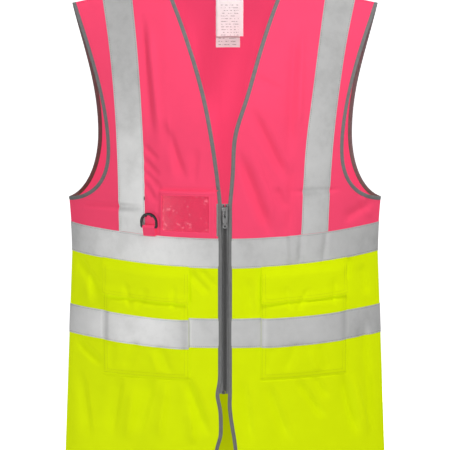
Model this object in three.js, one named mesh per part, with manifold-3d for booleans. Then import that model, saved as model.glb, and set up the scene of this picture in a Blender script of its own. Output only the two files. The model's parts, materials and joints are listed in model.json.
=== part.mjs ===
// A zip-front high-visibility vest with two hoops and two braces of reflective tape.
// Millimetres. +Z is up, the front faces -Y and +X is the wearer's left.
// The origin lies midway between the two points where the neck meets the shoulder seams.
import * as THREE from 'three';
import { mergeVertices } from 'three/addons/utils/BufferGeometryUtils.js';
import Module from 'manifold-3d';

// Overall cut
const LENGTH = 845;              // neck point to hem
const CHEST_HALF_WIDTH = 261.5;  // at the upper hoop
const UNDERARM_EASE = 8.5;       // extra half width at the underarm
const HEM_FLARE = 0.045;         // half width gained per mm below the flare's start
const FLARE_START = 450;         // below the neck points
const EASE_LENGTH = 180;         // height over which the underarm ease comes in
const CHEST_DEPTH = 127;         // front of the chest to the shoulder plane
const BACK_DEPTH = 108;          // back to the shoulder plane
const FRONT_SLOPE = 0.0625;      // how fast the front falls back below the chest line
const CHEST_LINE = 360;          // below the neck points
const FRONT_REACH = 250;         // how far below the shoulder the front is full
const BACK_REACH = 220;
const ROUNDNESS = 0.85;          // of the body's section
const TURN_OVER = 0.8;           // how sharply the cloth turns over the shoulder
const NECK_HALF_WIDTH = 98;
const SHOULDER_HALF_WIDTH = 257;
const SHOULDER_FALL = 0.21;
const UNDERARM_DROP = 361;
const BACK_NECK_DROP = 22;
const ARMHOLE_FRONT_HALF = 197;  // half width where the armhole cuts furthest in
const ARMHOLE_BACK_HALF = 219;
const ARMHOLE_FRONT_DROP = 275;  // how far down that narrowest place lies
const ARMHOLE_BACK_DROP = 255;

// Cloth, trim and the gaps that keep the pieces apart
const PANEL = 1.2;
const TAPE = 0.8;
const TAPE_WIDTH = 50;
const BINDING_WIDTH = 5.7;
const BINDING = 2.4;
const SEAM_GAP = 1.4;            // each side of a side seam or shoulder seam
const EDGE_GAP = 0.3;
const LAYER_GAP = 0.6;
const PATCH_GAP = 0.4;
const FACE = PANEL / 2;          // from the middle of a panel to its outer face
const ON_PANEL = FACE + LAYER_GAP;
const ON_TAPE = ON_PANEL + TAPE;

// Reflective tape. A hoop hangs lower at the centre front than at the side seams.
const UPPER_HOOP = { drop: 416, rise: 12 };
const LOWER_HOOP = { drop: 551.5, rise: 5 };
const BRACE_AT_SHOULDER = 185;   // the brace's middle, from the centre line
const BRACE_AT_HOOP = 152;

// Zip
const ZIP_LENGTH = 322;
const ZIP_TAPE_WIDTH = 14;
const ZIP_TAPE = 0.7;
const ZIP_TAPE_RISE = 2;         // above the top stops
const COIL_INNER = 0.9;
const COIL_WIDTH = 1.7;
const COIL = 2.4;
const FRONT_EDGE = 5.3;          // bound edge to the centre line
const STOP_HEIGHT = 2.6;
const SLIDER_WIDTH = 10;
const SLIDER_HEIGHT = 9.5;
const SLIDER_PLATE = 1.4;
const SLIDER_POST = 1.2;
const BRIDGE_WIDTH = 1.6;
const BRIDGE_BAR = 1.2;
const PULLER = 1.2;
const PULLER_LENGTH = 31;
const PULLER_WIDTH = 7.4;
const PULLER_NECK = 5;
const PULLER_END_RADIUS = 4.2;
const BOX_HEIGHT = 5;
const PIN_LENGTH = 11;
const ZIP_CLEARANCE = 0.35;

// Lower pockets
const POCKET_START = 60;         // near edge to the centre line
const POCKET_WIDTH = 145;
const POCKET_BOTTOM = 656;       // below the neck points
const POCKET_MOUTH = 17.5;         // below the upper hoop
const POCKET_DEPTH = 9;
const POCKET_WALL = 0.9;
const FLAP_LENGTH = 61;
const FLAP = 0.8;
const FLAP_GAP = 1;              // below the upper hoop
const PATCH = 0.7;
const PATCH_WIDTH = 60;
const PATCH_HEIGHT = 20;
const PATCH_RISE = 8;            // above the flap's lower edge

// Chest pocket with a clear window, and the ring beside it
const ID_START = 15;
const ID_WIDTH = 92.6;
const ID_TOP = 338;
const ID_DEPTH = 7;
const ID_WALL = 0.8;
const ID_BORDER_SIDE = 10;
const ID_BORDER_TOP = 7;
const ID_BORDER_BOTTOM = 9;
const RING_AT = 123.5;
const RING_WIDTH = 30.4;
const RING_HEIGHT = 26;
const RING = 3;
const RING_BAR = 4;
const RING_AXLE_RADIUS = 1.7;
const RING_CLEARANCE = 0.4;
const LOOP = 1;
const LOOP_WIDTH = 21.6;

// Labels inside the neck
const LABEL = 0.6;
const LABEL_TOP = 26;
const MAIN_LABEL = { width: 44, height: 64, at: 9 };
const SIZE_LABEL = { width: 41, height: 83, at: 5 };
const LABEL_STAND_OFF = 3;

const FRONT = -1;
const BACK = 1;
const RIGHT = -1;
const LEFT = 1;
const CURVED_ROWS = 12;          // rows beside a neck or armhole curve

const wasm = await Module();
wasm.setup();

// Colours

const PINK = { color: 0xff4d74, roughness: 0.85, metalness: 0 };
const YELLOW = { color: 0xdaee00, roughness: 0.85, metalness: 0 };
const SILVER = { color: 0xbfbfbf, roughness: 0.45, metalness: 0.2 };
const GREY = { color: 0x6a6a6a, roughness: 0.9, metalness: 0 };
const DARK_GREY = { color: 0x4c4c4e, roughness: 0.6, metalness: 0 };
const METAL = { color: 0x77777a, roughness: 0.4, metalness: 0.8 };
const BLACK = { color: 0x0e1212, roughness: 0.5, metalness: 0 };
const WHITE = { color: 0xd8d8d8, roughness: 0.8, metalness: 0 };
const CLEAR = { color: 0xe8eef0, roughness: 0.1, metalness: 0 };

// Body form

const lerp = THREE.MathUtils.lerp;
const smooth = (v) => THREE.MathUtils.smoothstep(v, 0, 1);

function halfWidth(z) {
  const below = -FLARE_START - z;
  if (below > 0) return CHEST_HALF_WIDTH + HEM_FLARE * below;
  return CHEST_HALF_WIDTH + UNDERARM_EASE * smooth(-below / EASE_LENGTH);
}

function shoulderHeight(x) {
  return -SHOULDER_FALL * Math.max(0, Math.abs(x) - NECK_HALF_WIDTH);
}

// 0 on the shoulder line, 1 where the cloth hangs clear of the shoulder.
function fullness(x, z, reach) {
  const t = THREE.MathUtils.clamp((shoulderHeight(x) - z) / reach, 0, 1);
  return Math.sin(Math.PI / 2 * t) ** TURN_OVER;
}

function depthAt(side, z) {
  if (side === BACK) return BACK_DEPTH;
  return CHEST_DEPTH + FRONT_SLOPE * Math.min(0, z + CHEST_LINE);
}

function bodyPoint(side, x, z) {
  const across = Math.min(1, Math.abs(x) / halfWidth(z));
  const section = (1 - across * across) ** ROUNDNESS;
  const full = fullness(x, z, side === BACK ? BACK_REACH : FRONT_REACH);
  return new THREE.Vector3(x, side * (SEAM_GAP + depthAt(side, z) * full * section), z);
}

// Unit vectors along the cloth (across, up) and out of it, right-handed as (across, -out, up).
function bodyFrame(side, x, z) {
  const step = 0.5;
  const limit = halfWidth(z) - 2 * step;
  const cx = THREE.MathUtils.clamp(x, -limit, limit);
  const cz = Math.min(z, shoulderHeight(cx) - 2 * step);
  const across = bodyPoint(side, cx + step, cz).sub(bodyPoint(side, cx - step, cz)).normalize();
  const rise = bodyPoint(side, cx, cz + step).sub(bodyPoint(side, cx, cz - step));
  const out = across.clone().cross(rise).multiplyScalar(-side).normalize();
  const up = out.clone().cross(across).multiplyScalar(-side).normalize();
  return { across, up, out };
}

function offBody(side, x, z, distance) {
  return bodyPoint(side, x, z).addScaledVector(bodyFrame(side, x, z).out, distance);
}

// Edges. A point of a 2-D curve is (x, z) on the wearer's left.

const shoulderCorner = [SHOULDER_HALF_WIDTH, shoulderHeight(SHOULDER_HALF_WIDTH)];
const vec = (x, z) => new THREE.Vector2(x, z);

function armhole(narrowest, lowestNarrow) {
  const path = new THREE.CurvePath();
  const underarm = halfWidth(-UNDERARM_DROP);
  const top = vec(...shoulderCorner);
  const waist = vec(narrowest, -lowestNarrow);
  path.add(new THREE.CubicBezierCurve(
    top, vec(lerp(top.x, narrowest, 0.37), -100), vec(narrowest, 85 - lowestNarrow), waist));
  path.add(new THREE.CubicBezierCurve(
    waist, vec(narrowest, -55 - lowestNarrow),
    vec(lerp(narrowest, underarm, 0.42), 6 - UNDERARM_DROP), vec(underarm, -UNDERARM_DROP)));
  path.cloth = -1;
  return path;
}

const frontArmhole = armhole(ARMHOLE_FRONT_HALF, ARMHOLE_FRONT_DROP);
const backArmhole = armhole(ARMHOLE_BACK_HALF, ARMHOLE_BACK_DROP);

const frontNeck = new THREE.CubicBezierCurve(
  vec(NECK_HALF_WIDTH, 0), vec(57, -85), vec(18, -220), vec(FRONT_EDGE, -CHEST_LINE));
frontNeck.cloth = 1;

// Rows crowd towards the shoulder, where the cloth turns over fastest.
const crowd = (q) => q ** 1.35;

// A point a distance inside the cloth from a finished edge. At the shoulder it stays on the seam.
function inside(edge, q, distance) {
  const at = edge.getPoint(crowd(q));
  const along = edge.getTangent(Math.min(crowd(q), 0.999));
  const into = vec(-along.y, along.x).multiplyScalar(edge.cloth);
  const seam = vec(1, -SHOULDER_FALL).normalize().multiplyScalar(edge.cloth);
  const turn = smooth(q / 0.2);
  const way = seam.lerp(into, turn).normalize();
  return at.addScaledVector(way, distance / way.dot(into));
}

// Pieces that lie on the body

// A closed piece that follows the body. map(s, t) gives its (x, z), with x rising with s and z
// falling with t; inner and outer are its faces' distances from the body, or functions of t.
function wrap(side, map, inner, outer, columns, rows) {
  const geometry = new THREE.BoxGeometry(1, 1, 1, columns, rows, 1);
  const place = geometry.attributes.position;
  for (let i = 0; i < place.count; i += 1) {
    const s = 0.5 - side * place.getX(i);
    const t = 0.5 - place.getY(i);
    const [x, z] = map(s, t);
    const face = place.getZ(i) > 0 ? outer : inner;
    const distance = typeof face === 'function' ? face(t) : face;
    place.setXYZ(i, ...offBody(side, x, z, distance));
  }
  return geometry;
}

// The same outline on the wearer's right or left; given for the left.
function onHand(hand, map) {
  return (s, t) => {
    const [x, z] = map(hand === LEFT ? s : 1 - s, t);
    return [hand * x, z];
  };
}

// Columns crowd towards the side seam, where the body turns fastest.
const towardsSide = (s) => Math.sin(Math.PI / 2 * s);

function between(a, b, s) {
  const k = towardsSide(s);
  return [lerp(a.x, b.x, k), lerp(a.y, b.y, k)];
}

const hoopTop = (side, hoop, x) =>
  -hoop.drop + hoop.rise * (side === BACK ? 1 : (x / CHEST_HALF_WIDTH) ** 2);
const colourLine = (side, x) => hoopTop(side, UPPER_HOOP, x) - TAPE_WIDTH / 2;
const panelEdge = BINDING_WIDTH + EDGE_GAP;
const bodyEdge = FRONT_EDGE + panelEdge;

const UPPER_ROWS = 16;
const CURVED_SHARE = CURVED_ROWS / UPPER_ROWS;

function frontUpper(s, t) {
  if (t <= CURVED_SHARE) {
    const q = t / CURVED_SHARE;
    return between(inside(frontNeck, q, panelEdge), inside(frontArmhole, q, panelEdge), s);
  }
  const q = (t - CURVED_SHARE) / (1 - CURVED_SHARE);
  const start = inside(frontArmhole, 1, panelEdge);
  const seamZ = lerp(start.y, colourLine(FRONT, halfWidth(start.y)) + EDGE_GAP, q);
  const edgeZ = lerp(-CHEST_LINE, colourLine(FRONT, bodyEdge) + EDGE_GAP, q);
  const seamX = lerp(start.x, halfWidth(seamZ), Math.min(1, 4 * q));
  return between(vec(bodyEdge, edgeZ), vec(seamX, seamZ), s);
}

function frontLower(s, t) {
  const x = lerp(bodyEdge, CHEST_HALF_WIDTH, towardsSide(s));
  const z = lerp(colourLine(FRONT, x) - EDGE_GAP, -LENGTH + panelEdge, crowd(t));
  return [lerp(bodyEdge, halfWidth(z), towardsSide(s)), z];
}

function hoopOnFront(hoop, start) {
  return (s, t) => {
    const x = lerp(start, CHEST_HALF_WIDTH, towardsSide(s));
    const z = hoopTop(FRONT, hoop, x) - t * TAPE_WIDTH;
    return [lerp(start, halfWidth(z), towardsSide(s)), z];
  };
}

function hoopOnBack(hoop) {
  return (s, t) => {
    const z = hoopTop(BACK, hoop, 0) - t * TAPE_WIDTH;
    return [halfWidth(z) * backColumn(s), z];
  };
}

// A brace leaves the shoulder seam and ends above the upper hoop.
function brace(side) {
  return (s, t) => {
    const k = t ** 1.5;
    const middle = lerp(BRACE_AT_HOOP, BRACE_AT_SHOULDER, (1 - k) ** 1.8);
    const height = lerp(shoulderHeight(middle), -UPPER_HOOP.drop, k);
    const slant = bodyFrame(side, middle, height).across.x;
    const x = middle + (s - 0.5) * TAPE_WIDTH * slant;
    const end = hoopTop(side, UPPER_HOOP, x) + EDGE_GAP;
    return [x, lerp(shoulderHeight(x), end, k)];
  };
}

function neckline(x) {
  const share = Math.min(1, Math.abs(x) / NECK_HALF_WIDTH);
  return -BACK_NECK_DROP * (1 - share ** 2.6);
}

// The back panel's top edge: the shoulder seams, and below the bound neckline between them.
function backTop(x) {
  if (Math.abs(x) > NECK_HALF_WIDTH + 2 * EDGE_GAP) return shoulderHeight(x);
  return neckline(x) - panelEdge;
}

// The back's columns, as shares of its half width: even across the neck, then crowding to the side.
function backColumn(s) {
  const share = 2 * s - 1;
  const neck = 0.4;
  const neckEnd = (NECK_HALF_WIDTH + EDGE_GAP) / inside(backArmhole, 0, panelEdge).x;
  const size = Math.abs(share);
  if (size <= neck) return share / neck * neckEnd;
  return Math.sign(share) * lerp(neckEnd, 1, towardsSide((size - neck) / (1 - neck)));
}

function backUpper(s, t) {
  const share = backColumn(s);
  if (t <= CURVED_SHARE) {
    const q = t / CURVED_SHARE;
    const corner = inside(backArmhole, 0, panelEdge);
    const edge = inside(backArmhole, q, panelEdge);
    const rise = backTop(share * corner.x) - corner.y;
    return [share * edge.x, edge.y + rise * (1 - crowd(q)) ** 2];
  }
  const q = (t - CURVED_SHARE) / (1 - CURVED_SHARE);
  const start = inside(backArmhole, 1, panelEdge);
  const z = lerp(start.y, colourLine(BACK, 0) + EDGE_GAP, q);
  return [share * lerp(start.x, halfWidth(z), Math.min(1, 4 * q)), z];
}

function backLower(s, t) {
  const z = lerp(colourLine(BACK, 0) - EDGE_GAP, -LENGTH + panelEdge, crowd(t));
  return [halfWidth(z) * backColumn(s), z];
}

// Bindings

const EDGE_ROWS = CURVED_ROWS + 8;

function frontEdgeBinding(s, t) {
  const curved = CURVED_ROWS / EDGE_ROWS;
  if (t <= curved) {
    const p = inside(frontNeck, t / curved, s * BINDING_WIDTH);
    return [p.x, p.y];
  }
  return [FRONT_EDGE + s * BINDING_WIDTH, lerp(-CHEST_LINE, -LENGTH, (t - curved) / (1 - curved))];
}

function armholeBinding(edge) {
  return (s, t) => {
    const p = inside(edge, t, (1 - s) * BINDING_WIDTH);
    return [p.x, p.y];
  };
}

function backNeckBinding(s, t) {
  const x = lerp(-NECK_HALF_WIDTH, NECK_HALF_WIDTH, s);
  return [x, neckline(x) - t * BINDING_WIDTH];
}

function hemOnFront(s, t) {
  const z = -LENGTH + (1 - t) * BINDING_WIDTH;
  return [lerp(bodyEdge, halfWidth(z), towardsSide(s)), z];
}

function hemOnBack(s, t) {
  const z = -LENGTH + (1 - t) * BINDING_WIDTH;
  return [halfWidth(z) * backColumn(s), z];
}

// Solids cut and joined

function toSolid(geometry) {
  const plain = geometry.index ? geometry.clone() : geometry;
  plain.deleteAttribute('normal');
  plain.deleteAttribute('uv');
  const merged = mergeVertices(plain, 1e-4);
  return new wasm.Manifold(new wasm.Mesh({
    numProp: 3,
    vertProperties: new Float32Array(merged.attributes.position.array),
    triVerts: new Uint32Array(merged.index.array),
  }));
}

function toGeometry(solid) {
  const mesh = solid.getMesh();
  const geometry = new THREE.BufferGeometry();
  geometry.setAttribute('position', new THREE.BufferAttribute(new Float32Array(mesh.vertProperties), 3));
  geometry.setIndex(new THREE.BufferAttribute(new Uint32Array(mesh.triVerts), 1));
  geometry.computeVertexNormals();
  return geometry;
}

const cut = (body, ...tools) =>
  toGeometry(tools.reduce((left, tool) => left.subtract(toSolid(tool)), toSolid(body)));
const join = (first, ...more) =>
  toGeometry(more.reduce((whole, piece) => whole.add(toSolid(piece)), toSolid(first)));

// A box between two corners.
function block(low, high) {
  const size = high.map((v, i) => v - low[i]);
  const middle = high.map((v, i) => (v + low[i]) / 2);
  return new THREE.BoxGeometry(...size).translate(...middle);
}

// A flat outline in (x, z), given thickness along Y from near to far.
function plate(shape, near, far) {
  const options = { depth: far - near, bevelEnabled: false, curveSegments: 8 };
  const geometry = new THREE.ExtrudeGeometry(shape, options);
  return geometry.rotateX(Math.PI / 2).translate(0, far, 0);
}

// Pockets

const pocketFace = FACE + POCKET_DEPTH + POCKET_WALL;
const onPocket = pocketFace + PATCH_GAP;
const hookFace = onPocket + PATCH + PATCH_GAP;
const flapInner = hookFace + PATCH + PATCH_GAP;
const pocketEnd = POCKET_START + POCKET_WIDTH;
const mouth = (x) => hoopTop(FRONT, UPPER_HOOP, x) - TAPE_WIDTH - POCKET_MOUTH;

// A rectangle on the front: from x0 to x1, between two heights that may depend on x.
function region(x0, x1, top, bottom) {
  return (s, t) => {
    const x = lerp(x0, x1, s);
    return [x, lerp(top(x), bottom(x), t)];
  };
}

// An open-topped pouch whose back is the panel itself.
function pouch(hand, x0, x1, top, bottom, foot, depth, wall) {
  const outer = region(x0, x1, top, bottom);
  const inner = region(x0 + wall, x1 - wall, (x) => top(x) + 5, (x) => bottom(x) + wall);
  const columns = 8;
  const rows = 6;
  return [
    wrap(FRONT, onHand(hand, outer), foot, FACE + depth + wall, columns, rows),
    wrap(FRONT, onHand(hand, inner), foot - 2, FACE + depth, columns, rows),
  ];
}

function pocketPouch(hand) {
  const [body, hollow] = pouch(hand, POCKET_START, pocketEnd, mouth, () => -POCKET_BOTTOM,
    ON_TAPE + LAYER_GAP, POCKET_DEPTH, POCKET_WALL);
  return cut(body, hollow);
}

function pocketTape(hand) {
  const map = region(POCKET_START, pocketEnd, (x) => hoopTop(FRONT, LOWER_HOOP, x),
    (x) => hoopTop(FRONT, LOWER_HOOP, x) - TAPE_WIDTH);
  return wrap(FRONT, onHand(hand, map), onPocket, onPocket + TAPE, 8, 1);
}

const flapTop = (x) => hoopTop(FRONT, UPPER_HOOP, x) - TAPE_WIDTH - FLAP_GAP;

// The flap leaves the panel at its sewn top edge and lies over the pocket's mouth.
function flap(hand) {
  const map = region(POCKET_START, pocketEnd, flapTop, (x) => flapTop(x) - FLAP_LENGTH);
  const spread = (POCKET_MOUTH - FLAP_GAP) / FLAP_LENGTH;
  const rise = (t) => lerp(ON_PANEL, flapInner, smooth(t / spread));
  return wrap(FRONT, onHand(hand, map), rise, (t) => rise(t) + FLAP, 8, 12);
}

function patch(hand, inner) {
  const middle = POCKET_START + POCKET_WIDTH / 2;
  const top = (x) => flapTop(x) - FLAP_LENGTH + PATCH_HEIGHT + PATCH_RISE;
  const map = region(middle - PATCH_WIDTH / 2, middle + PATCH_WIDTH / 2,
    top, (x) => top(x) - PATCH_HEIGHT);
  return wrap(FRONT, onHand(hand, map), inner, inner + PATCH, 4, 1);
}

const idEnd = ID_START + ID_WIDTH;
const idBottom = (x) => hoopTop(FRONT, UPPER_HOOP, x) + EDGE_GAP;
const idWindow = (inset) => region(
  ID_START + ID_BORDER_SIDE + inset, idEnd - ID_BORDER_SIDE / 2 - inset,
  () => -ID_TOP - ID_BORDER_TOP - inset, (x) => idBottom(x) + ID_BORDER_BOTTOM + inset);

function idFrame() {
  const [body, hollow] = pouch(RIGHT, ID_START, idEnd, () => -ID_TOP, idBottom,
    ON_PANEL, ID_DEPTH, ID_WALL);
  const hole = wrap(FRONT, onHand(RIGHT, idWindow(0)), FACE, FACE + ID_DEPTH + 2 * ID_WALL, 8, 6);
  return cut(body, hollow, hole);
}

function idClearSheet() {
  const inner = FACE + ID_DEPTH;
  return wrap(FRONT, onHand(RIGHT, idWindow(EDGE_GAP)), inner, inner + ID_WALL, 8, 6);
}

// Ring and loop, in their own frame: X across, -Y out of the cloth, Z up, origin on the axle.

const loopRadius = RING_AXLE_RADIUS + RING_CLEARANCE + LOOP;
const axleOut = ON_TAPE + LAYER_GAP + loopRadius;
const axleZ = -UPPER_HOOP.drop + 17;

function circle(radius, path = new THREE.Path()) {
  return path.absarc(0, 0, radius, 0, 2 * Math.PI, false);
}

function ringGeometry() {
  const half = RING_WIDTH / 2;
  const top = RING_HEIGHT - RING_BAR / 2;
  const arch = top - half;
  const outline = new THREE.Shape();
  outline.moveTo(half, -RING_BAR / 2);
  outline.lineTo(half, arch);
  outline.absarc(0, arch, half, 0, Math.PI, false);
  outline.lineTo(-half, -RING_BAR / 2);
  const hole = new THREE.Path();
  const inner = half - RING_BAR;
  hole.moveTo(inner, -RING_BAR);
  hole.lineTo(inner, arch);
  hole.absarc(0, arch, inner, 0, Math.PI, false);
  hole.lineTo(-inner, -RING_BAR);
  const opening = new THREE.Shape([...hole.getPoints(8)]);
  const body = plate(outline, -RING / 2, RING / 2);
  const gap = plate(opening, -RING, RING);
  const axle = new THREE.CylinderGeometry(RING_AXLE_RADIUS, RING_AXLE_RADIUS, 2 * half - RING_BAR, 16);
  axle.rotateZ(Math.PI / 2);
  return toGeometry(toSolid(body).subtract(toSolid(gap)).add(toSolid(axle)));
}

// A strip of cloth folded round the axle and sewn down under the upper hoop.
function loopGeometry() {
  const tail = axleZ - hoopTop(FRONT, UPPER_HOOP, RING_AT) - 2 * EDGE_GAP;
  const eye = new THREE.Shape();
  circle(loopRadius, eye);
  eye.holes.push(circle(RING_AXLE_RADIUS + RING_CLEARANCE));
  const options = { depth: LOOP_WIDTH, bevelEnabled: false, curveSegments: 12 };
  const ring = new THREE.ExtrudeGeometry(eye, options);
  ring.translate(0, 0, -LOOP_WIDTH / 2).rotateY(Math.PI / 2);
  const foot = block([-LOOP_WIDTH / 2, loopRadius - 2 * LOOP, -tail],
    [LOOP_WIDTH / 2, loopRadius, -loopRadius + LOOP / 2]);
  return join(ring, foot);
}

// Zip, in its own frame: X across, -Y outwards, Z up the zip, origin at its top on the body.

const coilOuter = COIL_INNER + COIL_WIDTH;
const coilFace = COIL / 2;
const zipTapeNear = BINDING / 2 + EDGE_GAP;
const sliderTop = -STOP_HEIGHT - 2 * ZIP_CLEARANCE;
const sliderBottom = sliderTop - SLIDER_HEIGHT;
const sliderNear = -coilFace - ZIP_CLEARANCE;
const pivotY = sliderNear - SLIDER_PLATE - ZIP_CLEARANCE - PULLER / 2;
const pivotZ = (sliderTop + sliderBottom) / 2;
const boxTop = -ZIP_LENGTH + BOX_HEIGHT;

// The left tape is cut back behind the parked slider, so that the fronts can part.
function zipTape(hand) {
  const cutBack = hand === LEFT ? FRONT_EDGE : COIL_INNER;
  const outline = new THREE.Shape([
    vec(COIL_INNER, ZIP_TAPE_RISE), vec(ZIP_TAPE_WIDTH, ZIP_TAPE_RISE),
    vec(ZIP_TAPE_WIDTH, -ZIP_LENGTH), vec(COIL_INNER, -ZIP_LENGTH),
    vec(COIL_INNER, sliderBottom - 2 * ZIP_CLEARANCE),
    vec(cutBack + EDGE_GAP, sliderBottom - ZIP_CLEARANCE),
    vec(cutBack + EDGE_GAP, sliderTop + ZIP_CLEARANCE),
    vec(COIL_INNER, sliderTop + ZIP_CLEARANCE),
  ].map((p) => vec(hand * p.x, p.y)));
  return plate(outline, zipTapeNear, zipTapeNear + ZIP_TAPE);
}

function besideCentre(hand, width, near, far, bottom, top) {
  const xs = [hand * COIL_INNER, hand * (COIL_INNER + width)].sort((a, b) => a - b);
  return block([xs[0], near, bottom], [xs[1], far, top]);
}

function coil(hand) {
  const top = hand === LEFT ? sliderBottom - 2 * ZIP_CLEARANCE : -STOP_HEIGHT - EDGE_GAP;
  const bottom = hand === LEFT ? PIN_LENGTH - ZIP_LENGTH + EDGE_GAP : boxTop + EDGE_GAP;
  return besideCentre(hand, COIL_WIDTH, -coilFace, coilFace, bottom, top);
}

const topStop = (hand) => besideCentre(hand, COIL_WIDTH + 0.4, -coilFace, coilFace, -STOP_HEIGHT, 0);
const insertionPin = () =>
  besideCentre(LEFT, COIL_WIDTH, -coilFace, coilFace, -ZIP_LENGTH, PIN_LENGTH - ZIP_LENGTH);
const retainerBox = () =>
  block([-SLIDER_WIDTH / 2, -coilFace - 0.6, -ZIP_LENGTH], [COIL_INNER - 2 * EDGE_GAP, coilFace, boxTop]);

// A shield-shaped slider face: broad at its shoulders and narrower at its tail.
function sliderOutline(width) {
  const half = width / 2;
  const shape = new THREE.Shape();
  shape.moveTo(-half * 0.62, sliderBottom);
  shape.lineTo(half * 0.62, sliderBottom);
  shape.quadraticCurveTo(half * 0.8, pivotZ, half, sliderTop - 3);
  shape.quadraticCurveTo(half, sliderTop, half * 0.5, sliderTop);
  shape.lineTo(-half * 0.5, sliderTop);
  shape.quadraticCurveTo(-half, sliderTop, -half, sliderTop - 3);
  shape.quadraticCurveTo(-half * 0.8, pivotZ, -half * 0.62, sliderBottom);
  return shape;
}

// The bridge that the puller hangs from arches along the slider's face.
function bridge() {
  const inner = PULLER / 2 + ZIP_CLEARANCE;
  const length = inner + 1.7;
  const face = sliderNear - SLIDER_PLATE / 2;
  const legs = [-1, 1].map((end) => block(
    [-BRIDGE_WIDTH / 2, pivotY - inner - BRIDGE_BAR, pivotZ + (end < 0 ? -length : length - BRIDGE_BAR)],
    [BRIDGE_WIDTH / 2, face, pivotZ + (end < 0 ? BRIDGE_BAR - length : length)]));
  const bar = block([-BRIDGE_WIDTH / 2, pivotY - inner - BRIDGE_BAR, pivotZ - length],
    [BRIDGE_WIDTH / 2, pivotY - inner, pivotZ + length]);
  return [...legs, bar];
}

function slider() {
  const backNear = zipTapeNear + ZIP_TAPE + ZIP_CLEARANCE;
  const front = plate(sliderOutline(SLIDER_WIDTH), sliderNear - SLIDER_PLATE, sliderNear);
  const back = plate(sliderOutline(SLIDER_WIDTH - 1), backNear, backNear + SLIDER_PLATE);
  const post = block([-SLIDER_POST / 2, sliderNear - SLIDER_PLATE / 2, pivotZ],
    [SLIDER_POST / 2, backNear + SLIDER_PLATE / 2, sliderTop - 1]);
  return join(front, back, post, ...bridge());
}

// The puller hangs from the rim above its eye; its outline is drawn from the pivot down.
function puller() {
  const half = PULLER_WIDTH / 2;
  const neckZ = -PULLER_LENGTH + 2 * PULLER_END_RADIUS + 1.5;
  const endZ = -PULLER_LENGTH + PULLER_END_RADIUS;
  const outline = new THREE.Shape();
  outline.moveTo(-half, -1.5);
  outline.lineTo(-half, neckZ + 3);
  outline.quadraticCurveTo(-half, neckZ, -PULLER_NECK / 2, neckZ);
  outline.lineTo(-PULLER_NECK / 2, endZ + PULLER_END_RADIUS * 0.8);
  outline.absarc(0, endZ, PULLER_END_RADIUS, Math.PI * 0.7, Math.PI * 2.3, false);
  outline.lineTo(PULLER_NECK / 2, neckZ);
  outline.quadraticCurveTo(half, neckZ, half, neckZ + 3);
  outline.lineTo(half, -1.5);
  outline.quadraticCurveTo(half, PULLER / 2, 1.5, PULLER / 2);
  outline.lineTo(-1.5, PULLER / 2);
  outline.quadraticCurveTo(-half, PULLER / 2, -half, -1.5);
  const eye = BRIDGE_WIDTH / 2 + ZIP_CLEARANCE + 0.4;
  outline.holes.push(new THREE.Path(
    [vec(-eye, -PULLER / 2), vec(-eye, -5), vec(eye, -5), vec(eye, -PULLER / 2)]));
  outline.holes.push(new THREE.Path().absellipse(0, -9.5, 1.6, 3, 0, 2 * Math.PI, false, 0));
  outline.holes.push(new THREE.Path().absarc(0, endZ, 1.5, 0, 2 * Math.PI, false));
  return plate(outline, -PULLER / 2, PULLER / 2);
}

// Labels hang flat from the neck seam.
function label(sheet, behind) {
  const y = bodyPoint(BACK, 0, -LABEL_TOP).y - LABEL_STAND_OFF - behind;
  return block([sheet.at - sheet.width / 2, y - LABEL, -LABEL_TOP - sheet.height],
    [sheet.at + sheet.width / 2, y, -LABEL_TOP]);
}

// Assembly

const vest = new THREE.Group();

function add(parent, name, geometry, look) {
  const mesh = new THREE.Mesh(geometry, new THREE.MeshStandardMaterial(look));
  mesh.name = name;
  parent.add(mesh);
  return mesh;
}

// A group standing on the body, with its own X across, Z up and -Y (front) or +Y (back) outwards.
function groupOnBody(side, x, z) {
  const { across, up, out } = bodyFrame(side, x, z);
  const group = new THREE.Group();
  group.position.copy(bodyPoint(side, x, z));
  group.quaternion.setFromRotationMatrix(
    new THREE.Matrix4().makeBasis(across, out.clone().multiplyScalar(side), up));
  vest.add(group);
  return group;
}

const BACK_COLUMNS = 20;
const FRONT_COLUMNS = 10;
const BRACE_COLUMNS = 4;
const NECK_COLUMNS = 8;
const LOWER_ROWS = 6;

function addPanel(side, name, map, columns, rows, look) {
  add(vest, name, wrap(side, map, -FACE, FACE, columns, rows), look);
}

function addTape(side, name, map, columns, rows) {
  add(vest, name, wrap(side, map, ON_PANEL, ON_TAPE, columns, rows), SILVER);
}

function addBinding(side, name, map, columns, rows) {
  add(vest, name, wrap(side, map, -BINDING / 2, BINDING / 2, columns, rows), GREY);
}

addPanel(BACK, 'back_upper_panel', backUpper, BACK_COLUMNS, UPPER_ROWS, PINK);
addPanel(BACK, 'back_lower_panel', backLower, BACK_COLUMNS, LOWER_ROWS, YELLOW);
addTape(BACK, 'back_upper_hoop_tape', hoopOnBack(UPPER_HOOP), BACK_COLUMNS, 2);
addTape(BACK, 'back_lower_hoop_tape', hoopOnBack(LOWER_HOOP), BACK_COLUMNS, 1);
addBinding(BACK, 'back_neck_binding', backNeckBinding, NECK_COLUMNS, 1);
addBinding(BACK, 'back_hem_binding', hemOnBack, BACK_COLUMNS, 1);
add(vest, 'main_neck_label', label(MAIN_LABEL, LABEL + LAYER_GAP), WHITE);
add(vest, 'size_neck_label', label(SIZE_LABEL, 0), WHITE);

const zipGroup = new THREE.Group();
zipGroup.position.copy(bodyPoint(FRONT, 0, -CHEST_LINE));
zipGroup.rotation.x = Math.atan(FRONT_SLOPE);
vest.add(zipGroup);

const upperHoop = hoopOnFront(UPPER_HOOP, bodyEdge);
const lowerHoop = hoopOnFront(LOWER_HOOP, bodyEdge);

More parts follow.
